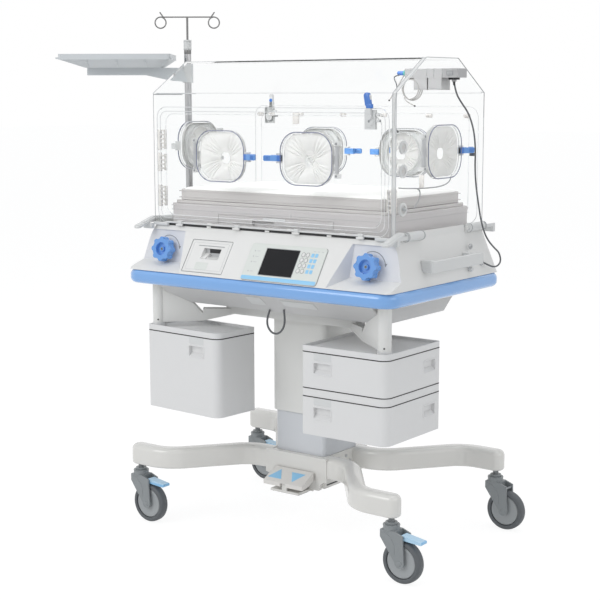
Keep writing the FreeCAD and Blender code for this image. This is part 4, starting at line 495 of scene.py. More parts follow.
def spline(points: Sequence[Sequence[float]], per: int = 8, closed: bool = False) -> Points:
    """Catmull-Rom curve through points: the cubic blend of each four neighbours, at equal steps."""
    p = np.array(points, float)
    if closed:
        p = np.concatenate([p[-1:], p, p[:2]])
    else:
        p = np.concatenate([2 * p[:1] - p[1:2], p, 2 * p[-1:] - p[-2:-1]])
    t = np.linspace(0, 1, per, endpoint=False)[None, :, None]
    a, b, c, d = p[:-3, None], p[1:-2, None], p[2:-1, None], p[3:, None]
    curve = 0.5 * (2 * b + (c - a) * t + (2 * a - 5 * b + 4 * c - d) * t**2 + (3 * b - a - 3 * c + d) * t**3)
    curve = curve.reshape(-1, 3)
    return curve if closed else np.concatenate([curve, p[-2:-1]])


def sweep(path: Points, section: Points, closed: bool = False) -> Points:
    """Carry a section along a path: each ring is the section in the plane of a side and an up direction.

    Args:
        path: points of the path.
        section: section's points, across and up.
        closed: whether the path is a loop.

    Returns:
        Rings by points by three.
    """
    ahead = (np.roll(path, -1, 0) - np.roll(path, 1, 0)) if closed else np.gradient(path, axis=0)
    ahead = ahead / np.linalg.norm(ahead, axis=1, keepdims=True)
    spread = np.abs(ahead).mean(0)
    up = np.eye(3)[int(np.argmin(spread))]
    side = np.cross(ahead, up)
    side = side / np.linalg.norm(side, axis=1, keepdims=True)
    top = np.cross(side, ahead)
    return path[:, None] + side[:, None] * section[None, :, :1] + top[:, None] * section[None, :, 1:]


def rod(a: Sequence[float], b: Sequence[float], r: float, soft: float = 0.4, n: int = 24) -> Points:
    """Round bar between two points with rounded rims."""
    a, b = np.array(a, float), np.array(b, float)
    length = float(np.linalg.norm(b - a))
    axis = (b - a) / length
    side = np.cross(axis, np.eye(3)[int(np.argmin(np.abs(axis)))])
    side = side / np.linalg.norm(side)
    return placed(soft_disc(r, 0, length, min(soft, r * 0.5), n), a, side, np.cross(axis, side))


def brick(lo: Sequence[float], hi: Sequence[float], soft: float = 0.8, r: float = 1.5) -> Points:
    """Box between two corners with rounded corners and rims, its rings stacked along z."""
    lo, hi = np.sort(np.array([lo, hi], float), axis=0)
    half = (hi - lo) / 2
    mid = (hi + lo) / 2
    r = min(r, half[0] * 0.9, half[1] * 0.9)
    soft = min(soft, half[2] * 0.9, r)
    return soft_plate(half[0], half[1], r, -half[2], half[2], soft, 4) + mid


class Node:
    """Copies of the frame's own solids, cleaned and given soft edges."""

    @staticmethod
    def soften(
        node: str, finish: Finish, width: float, segments: int = 2, limit: float = 32.0, smooth: float = 32.0,
        parts: Iterable[tuple[Finish, Callable[[Points], Points]]] = (),
    ) -> bpy.types.Object:
        """Replace a solid with a copy whose sharp edges are rounded.

        Args:
            node: the solid's name.
            finish: its finish.
            width: width of the rounded edge, in millimetres.
            segments: faces across a rounded edge.
            limit: smallest angle between two faces, in degrees, that is rounded.
            smooth: largest angle that is shaded smooth.
            parts: other finishes, each with a test on the faces' centres in millimetres.

        Returns:
            The new piece.
        """
        source = frame["nodes"][node]
        mesh = source.data.copy()
        mesh.materials.clear()
        work = bmesh.new()
        work.from_mesh(mesh)
        bmesh.ops.remove_doubles(work, verts=work.verts, dist=1e-6)
        bmesh.ops.dissolve_limit(
            work, angle_limit=math.radians(1.0), verts=work.verts, edges=work.edges, delimit={"NORMAL"})
        work.to_mesh(mesh)
        work.free()
        stored = mesh.attributes.get("custom_normal")
        if stored:
            mesh.attributes.remove(stored)
        body = source["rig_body"]
        piece = dress(node + "_skin", mesh, finish, body, smooth)
        centres = np.empty(len(mesh.polygons) * 3)
        mesh.polygons.foreach_get("center", centres)
        centres = centres.reshape(-1, 3) / MM
        slots = np.zeros(len(centres), dtype=np.int32)
        for i, (other, test) in enumerate(parts, 1):
            mesh.materials.append(SHOP.get(other))
            slots[test(centres)] = i
        mesh.polygons.foreach_set("material_index", slots)
        if width > 0:
            bevel = piece.modifiers.new("edge", "BEVEL")
            bevel.width = width * MM
            bevel.segments = segments
            bevel.limit_method = "ANGLE"
            bevel.angle_limit = math.radians(limit)
            bevel.harden_normals = True
            bevel.miter_outer = "MITER_ARC"
        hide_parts(node)
        return piece


@dataclass
class Studio:
    """Camera, lamps, sky and floor."""

    place: tuple[float, float, float] = (2.4997, -3.4398, 1.3661)
    azimuth: float = 36.71
    elevation: float = 8.61
    roll: float = -0.1
    lens: float = 82.308
    floor_half: float = 40.0
    floor_glow: float = 1.11
    floor_white: float = 0.8
    sky_light: float = 0.55
    aim: tuple[float, float, float] = (0.0, 0.0, 0.8)
    lamps: tuple[tuple[str, tuple[float, float, float], float, float], ...] = (
        ("key", (-1.6, -4.2, 3.4), 2.6, 75.0),
        ("side", (4.2, -0.6, 2.4), 2.4, 20.0),
        ("top", (0.3, 0.2, 4.2), 2.8, 40.0),
    )

    def camera(self) -> None:
        """Camera whose axes are worked out from azimuth, elevation and roll."""
        a, e, r = (math.radians(v) for v in (self.azimuth, self.elevation, self.roll))
        back = Vector((math.sin(a) * math.cos(e), -math.cos(a) * math.cos(e), math.sin(e)))
        right = Vector((math.cos(a), math.sin(a), 0.0))
        up = back.cross(right)
        turn = Matrix.Rotation(r, 3, back)
        axes = Matrix((turn @ right, turn @ up, back)).transposed().to_4x4()
        data = bpy.data.cameras.new("view")
        data.lens = self.lens
        data.sensor_width = 36.0
        camera = bpy.data.objects.new("view", data)
        camera.matrix_world = Matrix.Translation(self.place) @ axes
        bpy.context.scene.collection.objects.link(camera)
        bpy.context.scene.camera = camera

    def lamp(self, name: str, place: Sequence[float], size: float, power: float) -> None:
        """Square soft lamp aimed at the middle of the incubator."""
        data = bpy.data.lights.new(name, "AREA")
        data.shape = "SQUARE"
        data.size = size
        data.energy = power
        lamp = bpy.data.objects.new(name, data)
        lamp.location = place
        aim = Vector(self.aim) - Vector(place)
        lamp.rotation_euler = aim.to_track_quat("-Z", "Y").to_euler()
        bpy.context.scene.collection.objects.link(lamp)

    @staticmethod
    def _white_for(tree: Tree) -> Socket:
        """Add up the camera, glossy and transmission rays of Light Path, clamped to one."""
        path = tree.nodes.new("ShaderNodeLightPath")
        total = path.outputs["Is Camera Ray"]
        for label in ("Is Glossy Ray", "Is Transmission Ray"):
            total = maths(tree, "ADD", total, path.outputs[label], clamp=True)
        return total

    def sky(self) -> None:
        """Even pale sky for light, and plain white where it is seen, mirrored or looked at through glass."""
        world = bpy.data.worlds.new("studio")
        world.use_nodes = True
        bpy.context.scene.world = world
        tree = world.node_tree
        tree.nodes.clear()
        out = tree.nodes.new("ShaderNodeOutputWorld")
        plain, white = (tree.nodes.new("ShaderNodeBackground") for _ in range(2))
        set_inputs(plain, Color=(0.96, 0.98, 1.0, 1.0), Strength=self.sky_light)
        set_inputs(white, Color=(1, 1, 1, 1), Strength=1.0)
        tree.links.new(mixed(tree, self._white_for(tree), plain.outputs[0], white.outputs[0]), out.inputs["Surface"])

    def floor(self) -> None:
        """Pale floor that keeps a soft shadow and runs out into the white sky."""
        mesh = bpy.data.meshes.new("floor")
        h = self.floor_half
        mesh.from_pydata([(-h, -h, 0), (h, -h, 0), (h, h, 0), (-h, h, 0)], [], [(0, 1, 2, 3)])
        floor = bpy.data.objects.new("floor", mesh)
        bpy.context.scene.collection.objects.link(floor)
        material = bpy.data.materials.new("floor_paper")
        material.use_nodes = True
        tree = material.node_tree
        shader = tree.nodes["Principled BSDF"]
        set_inputs(shader, Base_Color=(0.9, 0.9, 0.9, 1), Roughness=0.9)
        glow = tree.nodes.new("ShaderNodeEmission")
        set_inputs(glow, Strength=self.floor_glow)
        share = maths(tree, "MULTIPLY", self._white_for(tree), self.floor_white)
        tree.links.new(mixed(tree, share, shader.outputs["BSDF"], glow.outputs["Emission"]),
                       tree.nodes["Material Output"].inputs["Surface"])
        mesh.materials.append(material)

    def build(self) -> None:
        """Set up the whole studio."""
        bpy.context.scene.view_settings.view_transform = "Standard"
        self.camera()
        self.sky()
        self.floor()
        for name, place, size, power in self.lamps:
            self.lamp(name, place, size, power)


@dataclass
class Cables:
    """Free cords: the sensor cable in two lengths and the loop under the deck."""

    sensor_radius: float = 2.5
    loop_radius: float = 3.0
    lead_radius: float = 1.7
    upper: tuple = (
        (467, 30, 1396), (468, 37, 1366), (471, 64, 1337), (473, 104, 1307), (474, 136, 1258),
        (474, 149, 1200), (474, 147, 1142), (475, 154, 1088), (480, 159, 1042), (486.9, 161, 1000.5))
    lower: tuple = (
        (487.1, 161.1, 999.7), (492, 168, 963), (498, 187, 928), (504, 216, 902), (509, 243, 884),
        (512, 250, 857), (511, 230, 843), (508, 204, 844), (501, 186, 852), (484.3, 180, 860))
    loop: tuple = (
        (52, -238, 727.0), (58, -240, 703), (54, -240, 673), (34, -238, 652), (6, -236, 650),
        (-14, -234, 670), (-16, -231, 698), (-8, -228, 719.3))

    def cord(
        self, name: str, route: Sequence[Sequence[float]], radius: float, body: str, node: str = "",
        finish: Finish = Finishes.CABLE,
    ) -> None:
        """One cord: a NURBS curve on the route's points.

        Args:
            name: the piece's name.
            route: control points in millimetres.
            radius: the cord's radius in millimetres.
            body: the body that it rides on.
            node: the solid that it stands for, if any.
            finish: its finish.
        """
        curve = bpy.data.curves.new(name, "CURVE")
        curve.dimensions = "3D"
        line = curve.splines.new("NURBS")
        line.points.add(len(route) - 1)
        flat = np.column_stack([np.array(route, float) * MM, np.ones(len(route))])
        line.points.foreach_set("co", flat.ravel())
        line.order_u = 3
        line.use_endpoint_u = True
        curve.resolution_u = 12
        curve.use_fill_caps = True
        piece = bpy.data.objects.new(name, curve)
        bpy.context.scene.collection.objects.link(piece)
        drawn = bpy.data.meshes.new_from_object(piece)
        co = np.empty(len(drawn.vertices) * 3)
        drawn.vertices.foreach_get("co", co)
        bpy.data.meshes.remove(drawn)
        curve.bevel_depth = radius * MM
        curve.bevel_resolution = 5
        curve.materials.append(SHOP.get(finish))
        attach(piece, body)
        if node:
            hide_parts(node)

    @staticmethod
    def bead(name: str, at: Sequence[float], r: float = 2.6) -> bpy.types.Object:
        """Small dark ball at a lead's tip: a half circle turned about the upright."""
        a = np.linspace(-1.45, 1.45, 9)
        ball = lathe(np.column_stack([r * np.cos(a), r * np.sin(a)]), 20) + np.array(at, float)
        return Surface().rings(ball).build(name, Finishes.BLACK, HOOD, 80)

    def leads(self) -> None:
        """Probe leads under the sensor module's plug, and the thin line along the right wall with its branch.

        The coil is a helix about y whose radius shrinks slowly: centre plus radius times cosine and sine.
        """
        turn = np.radians(np.linspace(118.0, -854.0, 30))
        reach = np.linspace(34.0, 29.0, len(turn))
        coil = np.stack([333 + reach * np.cos(turn), np.linspace(23.0, 2.0, len(turn)),
                         1374 + reach * np.sin(turn)], -1)
        hang = [(306, 26, 1412.6)] + coil.tolist() + [(322, 0, 1341), (340, -1, 1331), (353, -1, 1326)]
        drop = [(300, 24.5, 1413.6), (294, 14, 1393), (280, 6, 1366), (265, 0, 1342)]
        long = [(286, 25.5, 1415), (271, 17, 1412), (277, 8, 1402), (291, 3, 1385), (289, 0, 1360), (286, 0, 1325),
                (284, 0, 1290), (284, 0, 1262), (296, -2, 1250)]
        for label, route, finish in (
            ("coil", hang, Finishes.LEAD), ("short", drop, Finishes.LEAD), ("long", long, Finishes.CABLE),
        ):
            tip = self.bead("probe_tip_" + label, route[-1])
            self.cord("probe_lead_" + label, route, self.lead_radius, HOOD, "", finish)
        wall = [(443.6, 60, 1127), (440, 63, 1112), (438, 45, 1100), (437, 0, 1093.5), (437, -80, 1094),
                (437, -150, 1097), (440, -205, 1101), (443.6, -224, 1103)]
        branch = [(437, -122, 1095.8), (437, -104, 1092), (437, -101, 1076), (437, -108, 1060), (438, -124, 1049),
                  (443.6, -142, 1041)]
        for name, route in (("wall_line", wall), ("wall_line_branch", branch)):
            self.cord(name, route, self.lead_radius, HOOD, "", Finishes.LINE)

    def build(self) -> None:
        """Make the three cords that stand for solids, and the thin leads in the hood."""
        self.cord("sensor_lead_upper", self.upper, self.sensor_radius, HOOD, "sensor_cable_upper")
        self.cord("sensor_lead_lower", self.lower, self.sensor_radius, "lift", "sensor_cable_lower")
        self.cord("loop_lead", self.loop, self.loop_radius, "lift", "loop_cable")
        self.leads()


@dataclass(frozen=True)
class Wall:
    """One wall with an arm port: u runs right, v up and w outwards from the wall's face."""

    name: str
    origin: tuple[float, float, float]
    u: tuple[float, float, float]
    hinge: int
    carrier: str

    def at(self, p: Points) -> Points:
        """Carry points drawn as u, v and w onto the wall."""
        return placed(p, self.origin, self.u, (0, 0, 1))

    def across(self, c: Points) -> Points:
        """How far points lie from the port's middle towards its hinge."""
        return (c - np.array(self.origin)) @ np.array(self.u) * self.hinge

    @property
    def rest(self) -> str:
        """Name of the clear piece that carries this wall's port."""
        return "front_door_skin" if self.carrier == "front_door_body" else "canopy_skin"


WALLS = (
    Wall("front_left", (-160, -252.6, 1177), (1, 0, 0), -1, "front_door_body"),
    Wall("front_right", (160, -252.6, 1177), (1, 0, 0), 1, "front_door_body"),
    Wall("rear_left", (-160, 239, 1177), (-1, 0, 0), 1, HOOD),
    Wall("rear_right", (160, 239, 1177), (-1, 0, 0), -1, HOOD),
    Wall("end_right", (449, -20, 1197), (0, 1, 0), -1, HOOD),
    Wall("end_left", (-449, -20, 1197), (0, -1, 0), -1, HOOD),
)


def loop_line(
    path: Points, radius: float, name: str, finish: Finish, body: str, n: int = 10
) -> bpy.types.Object:
    """Thin round line along a closed path."""
    return Surface().tube(path, radius, n).build(name, finish, body, 180)


def line(path: Points, radius: float, name: str, finish: Finish, body: str, n: int = 10) -> bpy.types.Object:
    """Thin round line along an open path, its ends capped."""
    return Surface().rings(sweep(path, ring_circle(radius, n))).build(name, finish, body, 60)


@dataclass
class Ports:
    """Arm ports: clear dished doors with tinted rims, pleated cuffs, latch tabs and blue levers."""

    door_half: tuple[float, float] = (93.0, 77.0)
    door_round: float = 58.0
    door_face: float = 22.3
    cuff_half: tuple[float, float] = (86.0, 71.0)
    cuff_round: float = 52.0
    opening: float = 19.0
    pleats: int = 34
    lever_reach: float = 52.0
    lever_rise: float = 14.0

    @staticmethod
    def loop(hx: float, hy: float, r: float, w: float) -> Points:
        """Closed rounded-rectangle path at a height over the wall."""
        flat = ring_rect(hx, hy, r, 14)
        return raised(flat, w)

    def cuff(self, wall: Wall) -> None:
        """Pleated cuff: a radial grid from the outside of the port's ring, over its rim, to an off-centre opening.

        Each row blends the ring's rounded rectangle into a circle. The height over the wall is a bulge, sine of half
        a turn across the radius, plus pleats, a sine of the angle whose phase drifts with the radius, both fading
        at the rim and at the opening.

        Args:
            wall: the wall with the port.
        """
        rim = ring_rect(*self.cuff_half, self.cuff_round, 60)
        a = np.arctan2(rim[:, 1], rim[:, 0])[None, :]
        s = np.linspace(0, 1, 30)[:, None]
        aside = -wall.hinge * 3.0 + (8.0 if wall.u[0] else -8.0)
        round_end = self.opening * np.stack([np.cos(a[0]), np.sin(a[0])], -1) + (aside, -5.0)
        flat = rim[None] + (round_end - rim)[None] * s[:, :, None]
        bell = np.sin(np.pi * s) ** 0.8
        wave = np.sin(self.pleats * a + 2.2 * s + 0.9 * np.sin(3 * a))
        fine = np.sin(2 * self.pleats * a + 1.3 - 3.0 * s)
        w = 9.4 - 3.2 * s**3 + 2.4 * bell + bell * (1.7 * wave + 0.5 * fine) * (0.55 + 0.45 * s)
        p = np.concatenate([flat, w[:, :, None]], -1)
        sides = [raised(rim, h) for h in (2.0, 8.2)]
        p = np.concatenate([np.stack(sides), p])
        cloth = Surface().grid(wall.at(p), wrap=True).build("cuff_" + wall.name, Finishes.CUFF, wall.carrier, 180)
        thick = cloth.modifiers.new("cloth", "SOLIDIFY")
        thick.thickness = 0.35 * MM
        thick.offset = 0.0
        hem = loop_line(wall.at(p[-1, ::4]), 1.1, "cuff_hem_" + wall.name, Finishes.CUFF, wall.carrier)

    def door(self, wall: Wall) -> None:
        """One port door: clear shell, grey barrel, blue tab, rim lines, tab's button and slot."""
        hx, hy = self.door_half
        body = "port_" + wall.name
        Node.soften("port_door_" + wall.name, Finishes.CLEAR, 0.8, 2, parts=[
            (Finishes.FITTING, lambda c: wall.across(c) > hx + 0.2),
            (Finishes.FROST if wall.name == "end_left" else Finishes.KNOB, lambda c: wall.across(c) < -hx - 0.05)])
        loop_line(wall.at(self.loop(hx - 1.2, hy - 1.2, self.door_round - 1.2, self.door_face - 1.0)), 1.5,
                  "port_rim_" + wall.name, Finishes.RIM, body)
        # Pale lip line round the door's dish: painted highlight on its clear rim.
        loop_line(wall.at(self.loop(hx - 0.6, hy - 0.6, self.door_round - 0.6, self.door_face - 11.0)), 1.0,
                  "port_lip_" + wall.name, Finishes.HAIR, body)
        u = -wall.hinge * (hx + 9)
        yoke = Surface()
        for v in (-1, 1):
            post = soft_plate(7.5, 2.4, 1.5, -7.0, 4.5, 0.8, 3) + np.array([u, v * 12.2, 14.0])
            yoke.rings(wall.at(post))
        yoke.rings(wall.at(soft_plate(4.5, 14, 2, 0, 2.2, 0.6, 3) + np.array([-wall.hinge * (hx + 3), 0, 18.6])))
        yoke.build("tab_yoke_" + wall.name, Finishes.FROST, body)
        if wall.name != "end_left":
            self.lever(wall, body)
        screws = Surface()
        for v in (-45.5, 45.5):
            head = soft_disc(3.4, 0, 1.4, 0.5, 20) + np.array([wall.hinge * 104.0, v, 17.8])
            screws.rings(wall.at(head))
        screws.build("port_pin_heads_" + wall.name, Finishes.LINE, wall.carrier)

    def lever(self, wall: Wall, body: str) -> None:
        """Blue finger lever on a port door's tab: a rounded plate that rises away from the wall, with grip ribs and a
        darker blue block round its root, painted shade where the lever meets the door.

        The plate's points are tipped by their distance along it: height plus slope times distance.

        Args:
            wall: the wall with the port.
            body: the port door's body.
        """
        reach, rise = self.lever_reach, self.lever_rise
        half = reach / 2

        def tipped(p: Points) -> Points:
            """Tip plate points drawn around the plate's middle, and carry them onto the wall."""
            q = p.copy()
            q[..., 2] += 19.6 + (p[..., 0] + half) / reach * rise
            q[..., 0] = -wall.hinge * (self.door_half[0] - 1.0 + p[..., 0] + half)
            return wall.at(q if wall.hinge < 0 else q[..., ::-1, :])

        plate = Surface().rings(tipped(soft_plate(half, 8.6, 4.5, -2.4, 2.4, 1.2, 8)))
        plate.build("tab_lever_" + wall.name, Finishes.KNOB, body)
        # Darker blue grip ribs near the tip, and a darker blue block round the root: painted shade where the lever
        # meets the door.
        solid("tab_ribs_and_root_shade_" + wall.name, Finishes.LATCH, body,
              *(tipped(soft_plate(0.9, 6.2, 0.5, 2.2, 3.3, 0.3, 3) + np.array([half - 6 - 4.4 * i, 0, 0]))
                for i in range(4)),
              tipped(soft_plate(5.0, 8.9, 2.0, -3.4, 3.2, 0.8, 3) + np.array([5.0 - half, 0, 0])))

    def build(self) -> None:
        """Make every port."""
        for wall in WALLS:
            self.door(wall)
            self.cuff(wall)


@dataclass(frozen=True)
class Caster:
    """One caster: its corner's name, the place of its stem and whether it has a brake pedal."""

    name: str
    x: float
    y: float
    pedal: bool = True
    trail: float = 40.0
    axle: float = 62.5


CASTERS = (
    Caster("front_left", -480, -302), Caster("front_right", 480, -302),
    Caster("rear_left", -480, 302), Caster("rear_right", 480, 302, False),
)


@dataclass
class Stand:
    """Base castings, casters, foot control, column and support frame."""

    wheel_r: float = 62.5
    wheel_half: float = 16.0
    hub_r: float = 47.6

    def wheel(self, caster: Caster) -> None:
        """Tyre and dished hub, both turned about the axle.

        Args:
            caster: the caster.
        """
        centre = (caster.x + caster.trail, caster.y, caster.axle)
        r, h = self.wheel_r, self.wheel_half

        def turned(profile: list[tuple[float, float]], n: int) -> Points:
            """Half a profile and its mirror image, carried round the axle."""
            whole = profile + [(a, -b) for a, b in reversed(profile)]
            return placed(lathe(whole, n), centre, (1, 0, 0), (0, 0, 1))

        half = [(self.hub_r + 0.4, h - 6.0), (self.hub_r + 0.4, h - 2.2), (49.6, h - 0.8), (52.0, h - 0.3),
                (55.4, h - 0.2), (56.2, h - 1.4), (57.4, h - 1.6), (59.6, h - 2.8), (61.4, h - 5.4),
                (62.2, h - 9.0), (r, h - 14.5)]
        body = "wheel_" + caster.name
        tyre = Surface().grid(turned(half, 72), True, True).build("tyre_" + caster.name, Finishes.TYRE, body, 50)
        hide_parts(body)
        half = [(0.5, h - 0.4), (8.5, h - 0.4), (9.5, h - 1.2), (9.8, h - 4.6), (14.0, h - 5.4), (38.0, h - 4.2),
                (42.0, h - 3.4), (45.0, h - 3.6), (46.6, h - 5.0), (self.hub_r, h - 8.0)]
        solid("hub_" + caster.name, Finishes.HUB, body, turned(half, 64), smooth=40)
        gap = Surface()
        for side in (-1, 1):
            path = raised(ring_circle(48.2, 64), side * (h - 4.4))
            gap.grid(placed(sweep(path, ring_circle(0.8, 8), True), centre, (1, 0, 0), (0, 0, 1)), True, True)
        gap.build("wheel_gap_" + caster.name, Finishes.BLACK, body, 180)

    def fork(self, caster: Caster) -> None:
        """Softened fork with its axle caps, cheek ridges, head and stem rings, and its pedal where it has one."""
        body = "swivel_" + caster.name
        Node.soften("caster_fork_" + caster.name, Finishes.CASTER, 3.0, 3)
        x, y = caster.x, caster.y
        axle = np.array([x + caster.trail, y, caster.axle])
        trim = Surface()
        for side in (-1, 1):
            face = side * 22.9
            cap = lathe([(8.0, 0), (8.0, 0.7), (6.8, 1.5), (0.5, 1.9)], 28)
            trim.rings(placed(cap, axle + (0, face, 0), (-side, 0, 0), (0, 0, 1)))
            ridge = spline([(x - 14, y + face, 146), (x + 6, y + face, 136), (x + 20, y + face, 118),
                            (x + 25, y + face, 96), (x + 24, y + face, 84)], 8)
            trim.rings(sweep(ridge, ring_circle(1.1, 10)))
        for z, r in ((149.5, 24.0), (163.5, 24.0), (168.5, 17.2)):
            trim.tube(raised(ring_circle(r, 48) + (x, y), z), 0.9, 10)
        trim.build("fork_trim_" + caster.name, Finishes.CASTER, body, 60)
        solid("stem_rings_" + caster.name, Finishes.LINE, body,
              *(rod((x, y, z), (x, y, z + 1.4), 9.0, 0.3, 28) for z in (174.5, 178.0, 181.5)))
        if caster.pedal:
            self.pedal(caster)

    def pedal(self, caster: Caster) -> None:
        """Two-tone brake pedal: paler tread at the root, deeper lip, and grip ribs."""
        name = "brake_pedal_" + caster.name
        lo, hi = (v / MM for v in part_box(name))
        split = lo.x + 0.62 * (hi.x - lo.x)
        Node.soften(name, Finishes.PEDAL_PALE, 1.2, 2, parts=[(Finishes.PEDAL, lambda c: c[:, 0] > split)])

    def rocker(self) -> None:
        """Foot control: its two triangles, and the dark plate and screws under it."""
        Node.soften("foot_rocker", Finishes.FOOT, 4.0, 4)
        marks = Surface()
        slope = np.array([0.0, 62.0, 31.0]) / math.hypot(62, 31)
        for middle, point in ((-42.0, 1), (28.0, -1)):
            base = np.array([(-26.0, -19.0 * point), (26.0, -19.0 * point), (0.0, 23.0 * point)])
            if point < 0:
                base = base[::-1]
            rings = []
            for share, h in ((1.0, -0.6), (1.0, 0.5), (0.96, 0.8)):
                rings.append(raised(base * share + (middle, 0.0), h))
            marks.rings(placed(np.stack(rings), (0.0, -149.0, 187.5), (1, 0, 0), slope))
        marks.build("rocker_triangles", Finishes.MARK, "rocker")
        solid("rocker_underside", Finishes.LINE, "base",
              *(rod((x, -150, 137.6), (x, -150, 141.0), 4.0, 0.6, 20) for x in (-34, 34)),
              brick((-52, -168, 137.2), (52, -114, 139.6), 0.6, 4.0))

    def castings(self) -> None:
        """Leg castings with their clamp bolts and the dark joint on the right side."""
        Node.soften("base_block", Finishes.LEG, 1.5, parts=[
            (Finishes.CASTER, lambda c: (c[:, 2] < 143.0) & (c[:, 1] < -104.0))])
        for node in ("front_legs", "rear_legs"):
            Node.soften(node, Finishes.LEG, 2.0, 2)
        bolts = Surface()
        dark = Surface()
        for side in (-1, 1):
            for y, z in ((-40, 214), (-20, 232), (20, 232), (40, 214)):
                head = placed(lathe([(4.6, 0), (4.6, 2.4), (3.8, 3.2), (2.0, 3.2), (1.8, 2.0), (0.4, 2.0)], 20),
                              (side * 100, y, z), (0, side, 0), (0, 0, 1))
                bolts.rings(head)
            for half, low, high in ((84, 158, 162), (12, 178, 200)):
                dark.rings(brick((side * 99.5, -half, low), (side * 100.8, half, high), 0.2, 0.5))
        bolts.build("base_side_bolts", Finishes.FITTING, "base", 40)
        dark.build("base_joint", Finishes.BLACK, "base")

    def frame(self) -> None:
        """Column, beam and pan with the pan's blank plates and the posts' screws."""
        Node.soften("column_inner", Finishes.INNER, 1.0)
        Node.soften("column_outer", Finishes.COLUMN, 2.0, 3)
        Node.soften("support_frame", Finishes.COLUMN, 3.0, 3)
        # The pan's grey finish is painted shade under the deck.
        Node.soften("lower_pan", Finishes.PAN, 3.0)
        slope = np.array([0.0, 85.0, -65.0]) / math.hypot(85, 65)
        plates = Surface()
        for x0, x1, d0, d1 in ((-60, -4, 22, 66), (70, 190, 26, 58)):
            flat = soft_plate((x1 - x0) / 2, (d1 - d0) / 2, 3.0, -1.0, 1.6, 0.5, 5)
            middle = np.array([(x0 + x1) / 2, (d0 + d1) / 2, 0])
            plates.rings(placed(flat * (1, 1, -1) + middle, (0, -300, 777), (1, 0, 0), slope))
        plates.build("pan_plates", Finishes.HANDLE, "lift")
        screws = Surface()
        for side in (-1, 1):
            spot = np.array([side * 426 + 20.0 * 0.5, -262 - 20.0 * 0.86, 657.0])
            out = np.array([0.5, -0.86, 0])
            screws.rings(rod(spot - out * 2, spot + out * 0.7, 2.6, 0.3, 18))
        screws.build("post_screws", Finishes.BLACK, "lift")

    def build(self) -> None:
        """Dress the stand's solids and add its small pieces."""
        self.castings()
        self.frame()
        self.rocker()
        for caster in CASTERS:
            self.wheel(caster)
            self.fork(caster)


